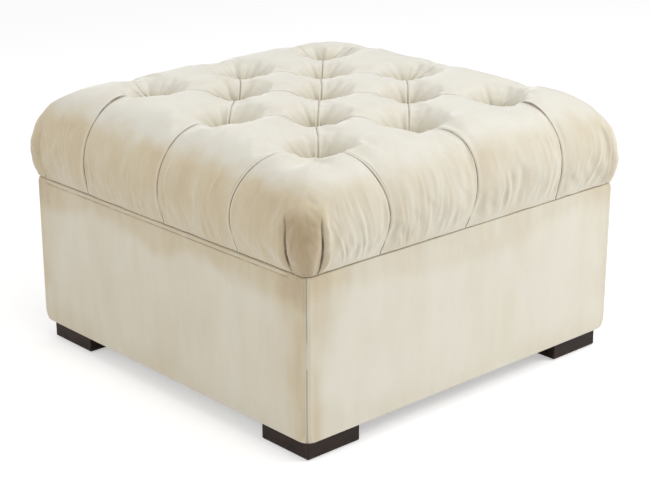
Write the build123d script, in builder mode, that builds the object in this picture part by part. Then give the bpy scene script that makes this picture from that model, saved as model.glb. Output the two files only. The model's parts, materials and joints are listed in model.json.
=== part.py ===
"""Square tufted storage ottoman: an upholstered box on four block feet under a hinged cushion lid.

The model stands on the floor: its origin is at the middle of the floor under it and +Z is up.
The front faces -Y, the hinges are along the back at +Y, and every length is in millimetres.
"""

import math
import os

from build123d import *

# Base box, over its velvet
base_width = 762.0
base_depth = 762.0
base_height = 288.5
base_edge_radius = 5.0
base_rim_radius = 3.5
velvet_thickness = 1.2
hem_width = 45.0
batting_thickness = 3.8
batting_joint_gap = 0.2

# Wooden box inside the base
panel_thickness = 16.0
corner_block_leg = 150.0
corner_block_height = 28.0
cleat_width = 20.0
cleat_gap = 2.0
floor_thickness = 9.0
lining_thickness = 1.0
dust_cover_thickness = 0.8
dust_cover_gap = 0.3
frame_screw_radius = 2.0
frame_screw_head_radius = 4.0
frame_screw_length = 45.0
frame_screw_edge = 40.0
frame_screws_per_corner = 3
screw_clearance = 0.1

# Rim strip along the top of the left face
rim_strip_height = 7.2
rim_strip_proud = 0.8
rim_strip_front_inset = 42.0
rim_strip_back_inset = 31.0
rim_strip_gap = 0.3
rim_strip_edge_radius = 0.9

# Feet, their bolts and the nuts in the corner blocks
foot_side = 116.5
foot_block_height = 35.5
foot_inset = 13.5
foot_edge_radius = 2.0
glide_side = 100.0
glide_thickness = 1.5
glide_corner_radius = 6.0
foot_bolt_radius = 4.0
foot_bolt_depth = 22.0
foot_bolt_reach = 23.0
foot_bolt_clearance = 0.5
tee_nut_flange_radius = 11.0
tee_nut_flange_thickness = 1.5
tee_nut_barrel_radius = 5.0
tee_nut_barrel_length = 12.0

# Lid cushion: drawn in at the bottom, widest above it, then rolled over to the top
lid_gap = 3.0
lid_bottom_overhang = 1.0
lid_swell_overhang = 15.0
lid_swell_height = 59.5
roll_radius = 107.0
lid_bottom_corner_radius = 14.0
lid_swell_corner_radius = 36.0
lid_top_corner_radius = 96.0
swell_height_shares = (0.0, 0.33, 0.67)
roll_angle_shares = (0.0, 0.17, 0.33, 0.5, 0.65, 0.78, 0.9, 1.0)

# Tufts, and the pleats folded between them
tuft_pitch_x = 225.0
tuft_pitch_y = 225.0
tuft_depth = 43.0
tuft_reach = 46.0
tuft_floor_radius = 3.0
pleat_depth = 14.0
pleat_reach = 40.0
pleat_end_rise = 1.0
pleat_arch_power = 3.0
pleat_section_shares = (-1.0, -0.7, -0.4, 0.0, 0.4, 0.7, 1.0)
flank_rise = 2.0
flank_rim_angle = 12.0

# Seams that run from the outer tufts over the roll and down the sides, and the corner pleats
seam_depth = 6.0
seam_reach = 15.0
seam_run_shares = (0.0, 0.3, 0.6, 1.0)
seam_run_out = 8.0
seam_overrun_angle = 6.0
corner_pleat_inset = 36.0
corner_pleat_top_angle = 34.0

# Lid board, foam and the twines that hold the tufts down
lid_board_thickness = 15.0
lid_board_inset = 5.0
lid_board_corner_radius = 10.0
lid_lining_thickness = 1.0
lid_lining_gap = 0.3
lid_hem_width = 45.0
foam_height = 116.0
foam_corner_radius = 60.0
foam_edge_radius = 45.0
foam_pit_radius = 40.0
foam_pit_floor_radius = 20.0
foam_pit_depth = 21.0
foam_clearance = 0.3
twine_radius = 1.25
twine_hole_radius = 3.0
anchor_radius = 10.0
anchor_thickness = 2.5
anchor_recess_depth = 3.0
anchor_recess_clearance = 0.5
anchor_hole_clearance = 0.25

# Hinges
hinge_side_inset = 150.0
hinge_length = 76.0
hinge_knuckles = 5
hinge_leaf_thickness = 1.2
hinge_knuckle_radius = 2.8
hinge_face_clearance = 1.7
hinge_swing_clearance = 0.3
hinge_pin_radius = 1.5
hinge_pin_head_radius = 2.4
hinge_pin_head_length = 1.2
hinge_knuckle_gap = 0.2
hinge_leaf_margin = 1.0
hinge_screw_radius = 1.4
hinge_screw_head_radius = 2.6
hinge_screw_length = 14.0
hinge_screw_end_margin = 12.0
hinge_screws_per_leaf = 3
running_clearance = 0.05

# Folding lid stays, one at each side wall
stay_base_back = 70.0
stay_base_drop = 110.0
stay_lid_reach = 150.0
stay_lid_drop = 13.5
stay_arm_thickness = 2.0
stay_arm_width = 14.0
stay_plate_thickness = 1.5
stay_plane_gap = 0.5
stay_wall_gap = 1.3
stay_rivet_radius = 2.5
stay_rivet_head_radius = 4.5
stay_rivet_head_thickness = 1.2
stay_head_gap = 0.2
stay_collar_radius = 4.0
stay_base_plate_width = 24.0
stay_base_plate_height = 60.0
stay_lid_flange_width = 16.0
stay_lid_flange_length = 64.0
stay_ear_width = 18.0
stay_screw_radius = 1.5
stay_screw_head_radius = 3.0
stay_screw_length = 12.0
stay_screw_edge = 9.0

# Felt rests on the rim that hold the closed lid level
bumper_radius = 5.0
bumper_clearance = 0.3

# One overrun serves every cut that has to break through a face
overrun = 5.0

# Heights of the base, from the floor up
base_bottom = glide_thickness + foot_block_height
base_top = base_bottom + base_height
panel_bottom = base_bottom + velvet_thickness
panel_top = base_top - velvet_thickness
floor_bottom = panel_bottom + corner_block_height
floor_top = floor_bottom + floor_thickness

# Half sizes of the base in plan, from the velvet inwards
half_width = base_width / 2
half_depth = base_depth / 2
core_half_width = half_width - velvet_thickness
core_half_depth = half_depth - velvet_thickness
panel_half_width = core_half_width - batting_thickness
panel_half_depth = core_half_depth - batting_thickness
inner_half_width = panel_half_width - panel_thickness
inner_half_depth = panel_half_depth - panel_thickness
lined_half_width = inner_half_width - lining_thickness
lined_half_depth = inner_half_depth - lining_thickness
wall_line_x = inner_half_width + panel_thickness / 2
wall_line_y = inner_half_depth + panel_thickness / 2

# Heights and half sizes of the lid
lid_bottom = base_top + lid_gap
swell_z = lid_bottom + lid_swell_height
lid_top = swell_z + roll_radius
board_bottom = lid_bottom + lid_lining_thickness
board_top = board_bottom + lid_board_thickness
foam_top = board_top + foam_height
foam_pit_floor = foam_top - foam_pit_depth
board_half_width = half_width - lid_board_inset
board_half_depth = half_depth - lid_board_inset

# Radius of the side below its widest line, from how far it is drawn in
draw_in = lid_swell_overhang - lid_bottom_overhang
swell_radius = (lid_swell_height**2 + draw_in**2) / (2 * draw_in)

# The lid turns about the line of the hinge pins, just outside the back face
hinge_axis_y = half_depth + hinge_knuckle_radius + hinge_face_clearance
hinge_axis_z = base_top + lid_gap / 2
hinge_offset = half_width - hinge_side_inset

# Stay pivots as (y, z): base pivot, lid pivot and elbow make a parallelogram with the hinge axis
base_pivot = (hinge_axis_y - stay_base_back, hinge_axis_z - stay_base_drop)
lid_pivot = (hinge_axis_y - stay_lid_reach, hinge_axis_z - stay_lid_drop)
elbow = (base_pivot[0] - stay_lid_reach, base_pivot[1] - stay_lid_drop)

# Planes of the stay, as distances from the middle of the ottoman
plate_inner = lined_half_width - stay_plate_thickness
lower_arm_outer = plate_inner - stay_wall_gap
lower_arm_inner = lower_arm_outer - stay_arm_thickness
upper_arm_outer = lower_arm_inner - stay_plane_gap
upper_arm_inner = upper_arm_outer - stay_arm_thickness

sides = (("left", -1), ("right", 1))
corners = [(x_side, y_side) for x_side in (-1, 1) for y_side in (-1, 1)]

os.makedirs("parts", exist_ok=True)


def save(builder, node):
    """Label a finished piece and write it as a STEP file of the same name."""
    builder.part.label = node
    export_step(builder.part, f"parts/{node}.step")


def countersunk_screw(shank_radius, head_radius, length, clearance=0.0):
    """Screw along -Z with the flat of its head at zero; with a clearance it is the hole for one."""
    shank = shank_radius + clearance
    head = head_radius + clearance
    end = length + clearance
    with BuildPart() as screw:
        with BuildSketch(Plane.XZ):
            with BuildLine():
                Polyline(
                    (0, 0), (head, 0), (shank, shank - head), (shank, shank - end), (0, -end), close=True
                )
            make_face()
        revolve(axis=Axis.Z)
    return screw.part


# Places of every screw, as locations whose -Z points along the screw
frame_screw_span = panel_top - panel_bottom - 2 * frame_screw_edge
frame_screw_pitch = frame_screw_span / (frame_screws_per_corner - 1)
lowest_frame_screw = panel_bottom + frame_screw_edge
frame_screw_heights = [lowest_frame_screw + row * frame_screw_pitch for row in range(frame_screws_per_corner)]
frame_screw_places = [
    Location((x_side * wall_line_x, y_side * panel_half_depth, height), (-90 * y_side, 0, 0))
    for x_side, y_side in corners
    for height in frame_screw_heights
]
hinge_screw_pitch = (hinge_length - 2 * hinge_screw_end_margin) / (hinge_screws_per_leaf - 1)
hinge_screw_xs = [
    side * hinge_offset - hinge_length / 2 + hinge_screw_end_margin + row * hinge_screw_pitch
    for _, side in sides
    for row in range(hinge_screws_per_leaf)
]
base_leaf_top = base_top + hinge_leaf_thickness
lid_leaf_bottom = lid_bottom - hinge_leaf_thickness
hinge_base_places = [Location((x, wall_line_y, base_leaf_top)) for x in hinge_screw_xs]
hinge_lid_places = [Location((x, wall_line_y, lid_leaf_bottom), (180, 0, 0)) for x in hinge_screw_xs]
stay_plate_screw_rise = stay_base_plate_height / 2 - stay_screw_edge
stay_plate_screw_heights = [base_pivot[1] + end * stay_plate_screw_rise for end in (-1, 1)]
stay_base_places = [
    Location((side * plate_inner, base_pivot[0], height), (0, -90 * side, 0))
    for _, side in sides
    for height in stay_plate_screw_heights
]
stay_flange_bottom = lid_bottom - stay_plate_thickness
stay_flange_middle = lower_arm_outer - (stay_lid_flange_width + stay_arm_thickness) / 2
stay_flange_screw_run = stay_lid_flange_length / 2 - stay_screw_edge
stay_flange_screw_ys = [lid_pivot[0] + end * stay_flange_screw_run for end in (-1, 1)]
stay_lid_places = [
    Location((side * stay_flange_middle, y, stay_flange_bottom), (180, 0, 0))
    for _, side in sides
    for y in stay_flange_screw_ys
]

# The screws themselves, and the holes that take them
frame_screw = countersunk_screw(frame_screw_radius, frame_screw_head_radius, frame_screw_length)
frame_screw_hole = countersunk_screw(
    frame_screw_radius, frame_screw_head_radius, frame_screw_length, screw_clearance
)
hinge_screw = countersunk_screw(hinge_screw_radius, hinge_screw_head_radius, hinge_screw_length)
hinge_screw_hole = countersunk_screw(
    hinge_screw_radius, hinge_screw_head_radius, hinge_screw_length, screw_clearance
)
stay_screw = countersunk_screw(stay_screw_radius, stay_screw_head_radius, stay_screw_length)
stay_screw_hole = countersunk_screw(
    stay_screw_radius, stay_screw_head_radius, stay_screw_length, screw_clearance
)

with BuildPart() as frame_screws:
    with Locations(*frame_screw_places):
        add(frame_screw)
save(frame_screws, "frame_screws")

with BuildPart() as hinge_base_screws:
    with Locations(*hinge_base_places):
        add(hinge_screw)
save(hinge_base_screws, "hinge_base_screws")

with BuildPart() as hinge_lid_screws:
    with Locations(*hinge_lid_places):
        add(hinge_screw)
save(hinge_lid_screws, "hinge_lid_screws")

with BuildPart() as stay_base_screws:
    with Locations(*stay_base_places):
        add(stay_screw)
save(stay_base_screws, "stay_base_screws")

with BuildPart() as stay_lid_screws:
    with Locations(*stay_lid_places):
        add(stay_screw)
save(stay_lid_screws, "stay_lid_screws")

# The four walls: the front and back run the full width and the side walls stand between them
for node, y_side in (("front_panel", -1), ("back_panel", 1)):
    with BuildPart() as panel:
        with BuildSketch(Plane.XY.offset(panel_bottom)):
            with Locations((0, y_side * wall_line_y)):
                Rectangle(2 * panel_half_width, panel_thickness)
        extrude(amount=panel_top - panel_bottom)
        with Locations(*frame_screw_places):
            add(frame_screw_hole, mode=Mode.SUBTRACT)
        with Locations(*hinge_base_places):
            add(hinge_screw_hole, mode=Mode.SUBTRACT)
    save(panel, node)

for side_name, side in sides:
    with BuildPart() as panel:
        with BuildSketch(Plane.XY.offset(panel_bottom)):
            with Locations((side * wall_line_x, 0)):
                Rectangle(panel_thickness, 2 * inner_half_depth)
        extrude(amount=panel_top - panel_bottom)
        with Locations(*frame_screw_places):
            add(frame_screw_hole, mode=Mode.SUBTRACT)
        with Locations(*stay_base_places):
            add(stay_screw_hole, mode=Mode.SUBTRACT)
    save(panel, f"{side_name}_panel")

# Corner blocks: triangles in the bottom corners that carry the floor and take the feet's bolts
foot_x = half_width - foot_inset - foot_side / 2
foot_y = half_depth - foot_inset - foot_side / 2
foot_places = [(x_side * foot_x, y_side * foot_y) for x_side, y_side in corners]
tee_nut_bottom = floor_bottom - tee_nut_flange_thickness - tee_nut_barrel_length

with BuildPart() as corner_blocks:
    with BuildSketch(Plane.XY.offset(panel_bottom)):
        for x_side, y_side in corners:
            with BuildLine():
                Polyline(
                    (x_side * inner_half_width, y_side * inner_half_depth),
                    (x_side * (inner_half_width - corner_block_leg), y_side * inner_half_depth),
                    (x_side * inner_half_width, y_side * (inner_half_depth - corner_block_leg)),
                    close=True,
                )
            make_face()
    extrude(amount=corner_block_height)
    with BuildSketch(Plane.XY.offset(panel_bottom)):
        with Locations(*foot_places):
            Circle(foot_bolt_radius + foot_bolt_clearance)
    extrude(amount=corner_block_height, mode=Mode.SUBTRACT)
    with BuildSketch(Plane.XY.offset(tee_nut_bottom)):
        with Locations(*foot_places):
            Circle(tee_nut_barrel_radius + screw_clearance)
    extrude(amount=floor_bottom - tee_nut_bottom, mode=Mode.SUBTRACT)
    with BuildSketch(Plane.XY.offset(floor_bottom)):
        with Locations(*foot_places):
            Circle(tee_nut_flange_radius + screw_clearance)
    extrude(amount=-tee_nut_flange_thickness, mode=Mode.SUBTRACT)
save(corner_blocks, "corner_blocks")

with BuildPart() as tee_nuts:
    with BuildSketch(Plane.XY.offset(floor_bottom)):
        with Locations(*foot_places):
            Circle(tee_nut_flange_radius)
    extrude(amount=-tee_nut_flange_thickness)
    with BuildSketch(Plane.XY.offset(tee_nut_bottom)):
        with Locations(*foot_places):
            Circle(tee_nut_barrel_radius)
    extrude(amount=tee_nut_barrel_length)
    with BuildSketch(Plane.XY.offset(tee_nut_bottom)):
        with Locations(*foot_places):
            Circle(foot_bolt_radius + running_clearance)
    extrude(amount=floor_bottom - tee_nut_bottom, mode=Mode.SUBTRACT)
save(tee_nuts, "tee_nuts")

# Cleats along the walls between the corner blocks, and the floor of the storage space on them
cleat_length_x = 2 * (inner_half_width - corner_block_leg - cleat_gap)
cleat_length_y = 2 * (inner_half_depth - corner_block_leg - cleat_gap)

with BuildPart() as floor_cleats:
    with BuildSketch(Plane.XY.offset(panel_bottom)):
        for end in (-1, 1):
            with Locations((0, end * (inner_half_depth - cleat_width / 2))):
                Rectangle(cleat_length_x, cleat_width)
            with Locations((end * (inner_half_width - cleat_width / 2), 0)):
                Rectangle(cleat_width, cleat_length_y)
    extrude(amount=corner_block_height)
save(floor_cleats, "floor_cleats")

with BuildPart() as floor_panel:
    with BuildSketch(Plane.XY.offset(floor_bottom)):
        Rectangle(2 * inner_half_width, 2 * inner_half_depth)
    extrude(amount=floor_thickness)
save(floor_panel, "floor_panel")

# Lining of the storage space: floor and four walls in one tub
with BuildPart() as storage_lining:
    with BuildSketch(Plane.XY.offset(floor_top)):
        Rectangle(2 * inner_half_width, 2 * inner_half_depth)
    extrude(amount=panel_top - floor_top)
    with BuildSketch(Plane.XY.offset(floor_top + lining_thickness)):
        Rectangle(2 * lined_half_width, 2 * lined_half_depth)
    extrude(amount=panel_top - floor_top, mode=Mode.SUBTRACT)
    with Locations(*stay_base_places):
        add(stay_screw_hole, mode=Mode.SUBTRACT)
save(storage_lining, "storage_lining")

# What the base velvet is pulled over: the walls with their batting, rounded at the rim
with BuildPart() as base_core:
    with BuildSketch(Plane.XY.offset(panel_bottom)):
        RectangleRounded(2 * core_half_width, 2 * core_half_depth, base_edge_radius - velvet_thickness)
    extrude(amount=panel_top - panel_bottom)
    fillet(base_core.faces().sort_by(Axis.Z)[-1].edges(), radius=base_rim_radius - velvet_thickness)

# Batting: a pad on each wall, those of the front and back as wide as the box
with BuildPart() as base_batting:
    add(base_core.part)
    with BuildSketch(Plane.XY.offset(panel_bottom)):
        Rectangle(2 * panel_half_width, 2 * panel_half_depth)
        with GridLocations(2 * core_half_width, 2 * panel_half_depth, 2, 2):
            Rectangle(2 * batting_thickness, batting_joint_gap)
    extrude(amount=panel_top - panel_bottom, mode=Mode.SUBTRACT)
save(base_batting, "base_batting")

# Velvet of the base: four sides, turned in over the rim and hemmed under the walls
strip_bottom = base_top - rim_strip_height
strip_length = base_depth - rim_strip_front_inset - rim_strip_back_inset
strip_middle = (rim_strip_front_inset - rim_strip_back_inset) / 2

with BuildPart() as base_cover:
    with BuildSketch(Plane.XY.offset(base_bottom)):
        RectangleRounded(base_width, base_depth, base_edge_radius)
    extrude(amount=base_height)
    fillet(base_cover.faces().sort_by(Axis.Z)[-1].edges(), radius=base_rim_radius)
    add(base_core.part, mode=Mode.SUBTRACT)
    with BuildSketch(Plane.XY.offset(panel_top)):
        Rectangle(2 * lined_half_width, 2 * lined_half_depth)
    extrude(amount=velvet_thickness, mode=Mode.SUBTRACT)
    with BuildSketch(Plane.XY.offset(base_bottom)):
        Rectangle(base_width - 2 * hem_width, base_depth - 2 * hem_width)
    extrude(amount=velvet_thickness, mode=Mode.SUBTRACT)
    with BuildSketch(Plane.YZ.offset(-core_half_width)):
        with Locations((strip_middle, (strip_bottom + base_top + overrun) / 2)):
            Rectangle(strip_length + 2 * rim_strip_gap, rim_strip_height + overrun)
    extrude(amount=-velvet_thickness, mode=Mode.SUBTRACT)
    with Locations(*hinge_base_places):
        add(hinge_screw_hole, mode=Mode.SUBTRACT)
save(base_cover, "base_cover")

with BuildPart() as rim_strip:
    with BuildSketch(Plane.YZ.offset(-core_half_width)):
        with Locations((strip_middle, (strip_bottom + rim_strip_gap + base_top) / 2)):
            Rectangle(strip_length, rim_strip_height - rim_strip_gap)
    extrude(amount=-(velvet_thickness + rim_strip_proud))
    fillet(rim_strip.faces().sort_by(Axis.X)[0].edges(), radius=rim_strip_edge_radius)
save(rim_strip, "rim_strip")

# Dust cover between the hems of the base
with BuildPart() as dust_cover:
    with BuildSketch(Plane.XY.offset(base_bottom)):
        Rectangle(
            base_width - 2 * (hem_width + dust_cover_gap), base_depth - 2 * (hem_width + dust_cover_gap)
        )
        with Locations(*foot_places):
            Circle(foot_bolt_radius + foot_bolt_clearance, mode=Mode.SUBTRACT)
    extrude(amount=dust_cover_thickness)
save(dust_cover, "dust_cover")

# Feet: square blocks with eased edges on felt glides, each on one bolt
for (x_side, y_side), (x, y) in zip(corners, foot_places):
    with BuildPart() as foot:
        with BuildSketch(Plane.XY.offset(glide_thickness)):
            with Locations((x, y)):
                Rectangle(foot_side, foot_side)
        extrude(amount=foot_block_height)
        fillet(foot.edges().filter_by(Axis.Z), radius=foot_edge_radius)
        fillet(foot.faces().sort_by(Axis.Z)[0].edges(), radius=foot_edge_radius)
        with BuildSketch(Plane.XY.offset(base_bottom)):
            with Locations((x, y)):
                Circle(foot_bolt_radius + screw_clearance)
        extrude(amount=-foot_bolt_depth, mode=Mode.SUBTRACT)
    x_name = "left" if x_side < 0 else "right"
    y_name = "front" if y_side < 0 else "back"
    save(foot, f"{y_name}_{x_name}_foot")

with BuildPart() as foot_glides:
    with BuildSketch():
        with Locations(*foot_places):
            RectangleRounded(glide_side, glide_side, glide_corner_radius)
    extrude(amount=glide_thickness)
save(foot_glides, "foot_glides")

with BuildPart() as foot_bolts:
    with BuildSketch(Plane.XY.offset(base_bottom - foot_bolt_depth)):
        with Locations(*foot_places):
            Circle(foot_bolt_radius)
    extrude(amount=foot_bolt_depth + foot_bolt_reach)
save(foot_bolts, "foot_bolts")

# Felt rests: two at the front corners of the rim and one on the middle of each side wall
with BuildPart() as lid_bumpers:
    with BuildSketch(Plane.XY.offset(base_top)):
        for _, side in sides:
            with Locations((side * wall_line_x, -wall_line_y), (side * wall_line_x, 0)):
                Circle(bumper_radius)
    extrude(amount=lid_gap - bumper_clearance)
save(lid_bumpers, "lid_bumpers")

# Hinges: each leaf is a plate with rolled knuckles, the base's and the lid's in turn
knuckle_pitch = hinge_length / hinge_knuckles
knuckle_length = knuckle_pitch - hinge_knuckle_gap
leaf_inner = inner_half_depth + hinge_leaf_margin
leaf_outer = hinge_axis_y - hinge_knuckle_radius - hinge_swing_clearance


def hinge_leaf(middle_x, plate_bottom, first_knuckle, screw_places):
    """Leaf around the pin: a plate, and every second knuckle joined to it by a short web."""
    plate_middle = plate_bottom + hinge_leaf_thickness / 2
    knuckle_starts = [
        middle_x - hinge_length / 2 + number * knuckle_pitch + hinge_knuckle_gap / 2
        for number in range(first_knuckle, hinge_knuckles, 2)
    ]
    with BuildPart() as leaf:
        with BuildSketch(Plane.XY.offset(plate_bottom)):
            with Locations((middle_x, (leaf_inner + leaf_outer) / 2)):
                Rectangle(hinge_length, leaf_outer - leaf_inner)
        extrude(amount=hinge_leaf_thickness)
        for start in knuckle_starts:
            with BuildSketch(Plane.YZ.offset(start)):
                with Locations((hinge_axis_y, hinge_axis_z)):
                    Circle(hinge_knuckle_radius)
                with Locations(((leaf_inner + hinge_axis_y) / 2, plate_middle)):
                    Rectangle(hinge_axis_y - leaf_inner, hinge_leaf_thickness)
                with Locations((hinge_axis_y, hinge_axis_z)):
                    Circle(hinge_pin_radius + running_clearance, mode=Mode.SUBTRACT)
            extrude(amount=knuckle_length)
        with Locations(*screw_places):
            add(hinge_screw_hole, mode=Mode.SUBTRACT)
    return leaf


for side_name, side in sides:
    middle_x = side * hinge_offset
    save(hinge_leaf(middle_x, base_top, 0, hinge_base_places), f"{side_name}_hinge_base_leaf")
    save(hinge_leaf(middle_x, lid_leaf_bottom, 1, hinge_lid_places), f"{side_name}_hinge_lid_leaf")
    with BuildPart() as hinge_pin:
        with BuildSketch(Plane.YZ.offset(middle_x - hinge_length / 2)):
            with Locations((hinge_axis_y, hinge_axis_z)):
                Circle(hinge_pin_radius)
        extrude(amount=hinge_length)
        for end in (-1, 1):
            with BuildSketch(Plane.YZ.offset(middle_x + end * hinge_length / 2)):
                with Locations((hinge_axis_y, hinge_axis_z)):
                    Circle(hinge_pin_head_radius)
            extrude(amount=end * hinge_pin_head_length)
    save(hinge_pin, f"{side_name}_hinge_pin")

# Folding stays: plate on the wall, two arms that meet at an elbow, and an angle bracket on the lid
head_inner_face = upper_arm_inner - stay_head_gap
rivet_hole_radius = stay_rivet_radius + running_clearance


def stay_arm(start, end, inner_face, side):
    """Flat arm with round ends between two pivots, each given as (y, z)."""
    length = math.hypot(end[0] - start[0], end[1] - start[1])
    angle = math.degrees(math.atan2(end[1] - start[1], end[0] - start[0]))
    with BuildPart() as arm:
        with BuildSketch(Plane.YZ.offset(side * inner_face)):
            with Locations(((start[0] + end[0]) / 2, (start[1] + end[1]) / 2)):
                SlotCenterToCenter(length, stay_arm_width, rotation=angle)
            with Locations(start, end):
                Circle(rivet_hole_radius, mode=Mode.SUBTRACT)
        extrude(amount=side * stay_arm_thickness)
    return arm


def stay_rivet(pivot, side):
    """Rivet through both arm planes, with a head at each end."""
    with BuildPart() as rivet:
        with BuildSketch(Plane.YZ.offset(side * head_inner_face)):
            with Locations(pivot):
                Circle(stay_rivet_radius)
        extrude(amount=side * (lower_arm_outer - head_inner_face))
        with BuildSketch(Plane.YZ.offset(side * head_inner_face)):
            with Locations(pivot):
                Circle(stay_rivet_head_radius)
        extrude(amount=-side * stay_rivet_head_thickness)
        with BuildSketch(Plane.YZ.offset(side * lower_arm_outer)):
            with Locations(pivot):
                Circle(stay_rivet_head_radius)
        extrude(amount=side * stay_rivet_head_thickness)
    return rivet


for side_name, side in sides:
    with BuildPart() as base_plate:
        with BuildSketch(Plane.YZ.offset(side * plate_inner)):
            with Locations(base_pivot):
                Rectangle(stay_base_plate_width, stay_base_plate_height)
                Circle(rivet_hole_radius, mode=Mode.SUBTRACT)
        extrude(amount=side * stay_plate_thickness)
        with Locations(*stay_base_places):
            add(stay_screw_hole, mode=Mode.SUBTRACT)
    save(base_plate, f"{side_name}_stay_base_plate")

    with BuildPart() as base_rivet:
        with BuildSketch(Plane.YZ.offset(side * (lower_arm_inner - stay_head_gap))):
            with Locations(base_pivot):
                Circle(stay_rivet_radius)
        extrude(amount=side * (lined_half_width - lower_arm_inner + stay_head_gap))
        with BuildSketch(Plane.YZ.offset(side * plate_inner)):
            with Locations(base_pivot):
                Circle(stay_collar_radius)
        extrude(amount=-side * (stay_wall_gap - stay_head_gap))
        with BuildSketch(Plane.YZ.offset(side * (lower_arm_inner - stay_head_gap))):
            with Locations(base_pivot):
                Circle(stay_rivet_head_radius)
        extrude(amount=-side * stay_rivet_head_thickness)
    save(base_rivet, f"{side_name}_stay_base_rivet")

    with BuildPart() as lid_bracket:
        with BuildSketch(Plane.XY.offset(stay_flange_bottom)):
            with Locations((side * (lower_arm_outer - stay_lid_flange_width / 2), lid_pivot[0])):
                Rectangle(stay_lid_flange_width, stay_lid_flange_length)
        extrude(amount=stay_plate_thickness)
        with BuildSketch(Plane.YZ.offset(side * lower_arm_inner)):
            with Locations(lid_pivot):
                Circle(stay_ear_width / 2)
            with Locations((lid_pivot[0], (lid_pivot[1] + lid_bottom) / 2)):
                Rectangle(stay_ear_width, lid_bottom - lid_pivot[1])
            with Locations(lid_pivot):
                Circle(rivet_hole_radius, mode=Mode.SUBTRACT)
        extrude(amount=side * stay_arm_thickness)
        with Locations(*stay_lid_places):
            add(stay_screw_hole, mode=Mode.SUBTRACT)
    save(lid_bracket, f"{side_name}_stay_lid_bracket")

    save(stay_arm(base_pivot, elbow, lower_arm_inner, side), f"{side_name}_stay_lower_arm")
    save(stay_arm(elbow, lid_pivot, upper_arm_inner, side), f"{side_name}_stay_upper_arm")
    save(stay_rivet(elbow, side), f"{side_name}_stay_elbow_rivet")
    save(stay_rivet(lid_pivot, side), f"{side_name}_stay_lid_rivet")

# Tufts: a three by three grid with a two by two grid between its points
tuft_places = [(i * tuft_pitch_x, j * tuft_pitch_y) for i in (-1, 0, 1) for j in (-1, 0, 1)]
tuft_places += [(i * tuft_pitch_x / 2, j * tuft_pitch_y / 2) for i, j in corners]
anchor_bottom = board_bottom + anchor_recess_depth - anchor_thickness

with BuildPart() as lid_board:
    with BuildSketch(Plane.XY.offset(board_bottom)):
        RectangleRounded(2 * board_half_width, 2 * board_half_depth, lid_board_corner_radius)
        with Locations(*tuft_places):
            Circle(twine_hole_radius, mode=Mode.SUBTRACT)
    extrude(amount=lid_board_thickness)
    with BuildSketch(Plane.XY.offset(board_bottom)):
        with Locations(*tuft_places):
            Circle(anchor_radius + anchor_recess_clearance)
    extrude(amount=anchor_recess_depth, mode=Mode.SUBTRACT)
    with Locations(*hinge_lid_places):
        add(hinge_screw_hole, mode=Mode.SUBTRACT)
    with Locations(*stay_lid_places):
        add(stay_screw_hole, mode=Mode.SUBTRACT)
save(lid_board, "lid_board")

with BuildPart() as tuft_anchors:
    with BuildSketch(Plane.XY.offset(anchor_bottom)):
        with Locations(*tuft_places):
            Circle(anchor_radius)
            Circle(twine_radius + anchor_hole_clearance, mode=Mode.SUBTRACT)
    extrude(amount=anchor_thickness)
save(tuft_anchors, "tuft_anchors")

with BuildPart() as tuft_twines:
    with BuildSketch(Plane.XY.offset(anchor_bottom)):
        with Locations(*tuft_places):
            Circle(twine_radius)
    extrude(amount=foam_pit_floor + foam_clearance - anchor_bottom)
save(tuft_twines, "tuft_twines")

with BuildPart() as lid_lining:
    with BuildSketch(Plane.XY.offset(lid_bottom)):
        Rectangle(
            base_width - 2 * (lid_hem_width + lid_lining_gap),
            base_depth - 2 * (lid_hem_width + lid_lining_gap),
        )
    extrude(amount=lid_lining_thickness)
    with Locations(*stay_lid_places):
        add(stay_screw_hole, mode=Mode.SUBTRACT)
save(lid_lining, "lid_lining")


def foam_block(clearance=0.0):
    """Foam with a rounded top edge and a cone under every tuft; with a clearance it is its cavity."""
    pit = Cone(
        foam_pit_floor_radius - clearance,
        foam_pit_radius - clearance,
        foam_pit_depth,
        align=(Align.CENTER, Align.CENTER, Align.MIN),
        mode=Mode.PRIVATE,
    )
    with BuildPart() as block:
        with BuildSketch(Plane.XY.offset(board_top)):
            RectangleRounded(
                2 * (board_half_width + clearance), 2 * (board_half_depth + clearance), foam_corner_radius
            )
        extrude(amount=foam_height + clearance)
        fillet(block.faces().sort_by(Axis.Z)[-1].edges(), radius=foam_edge_radius)
        with Locations(*[(x, y, foam_pit_floor + clearance) for x, y in tuft_places]):
            add(pit, mode=Mode.SUBTRACT)
    return block


with BuildPart() as lid_foam:
    add(foam_block().part)
    with BuildSketch(Plane.XY.offset(board_top)):
        with Locations(*tuft_places):
            Circle(twine_hole_radius)
    extrude(amount=foam_height, mode=Mode.SUBTRACT)
save(lid_foam, "lid_foam")
lid_foam_cavity = foam_block(foam_clearance)


def lid_sections():
    """Heights of the cushion's sections, each with its overhang past the base and corner radius."""
    for share in swell_height_shares:
        drop = lid_swell_height * (1 - share)
        overhang = lid_swell_overhang - swell_radius + math.sqrt(swell_radius**2 - drop**2)
        corner = lid_bottom_corner_radius + share * (lid_swell_corner_radius - lid_bottom_corner_radius)
        yield swell_z - drop, overhang, corner
    for share in roll_angle_shares:
        angle = share * math.pi / 2
        overhang = lid_swell_overhang - roll_radius * (1 - math.cos(angle))
        corner = lid_swell_corner_radius + share * (lid_top_corner_radius - lid_swell_corner_radius)
        yield swell_z + roll_radius * math.sin(angle), overhang, corner


# Outer form of the cushion before it is tufted
with BuildPart() as cushion_form:
    for height, overhang, corner in lid_sections():
        with BuildSketch(Plane.XY.offset(height)):
            RectangleRounded(base_width + 2 * overhang, base_depth + 2 * overhang, corner)
    loft()

# Every flank leaves the surface at the same shallow angle and curves down into its crease
rim_angle = math.radians(flank_rim_angle)
rim_heading = (-math.cos(rim_angle), -math.sin(rim_angle))
rim_height = lid_top + flank_rise
tuft_floor_z = lid_top - tuft_depth

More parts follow.
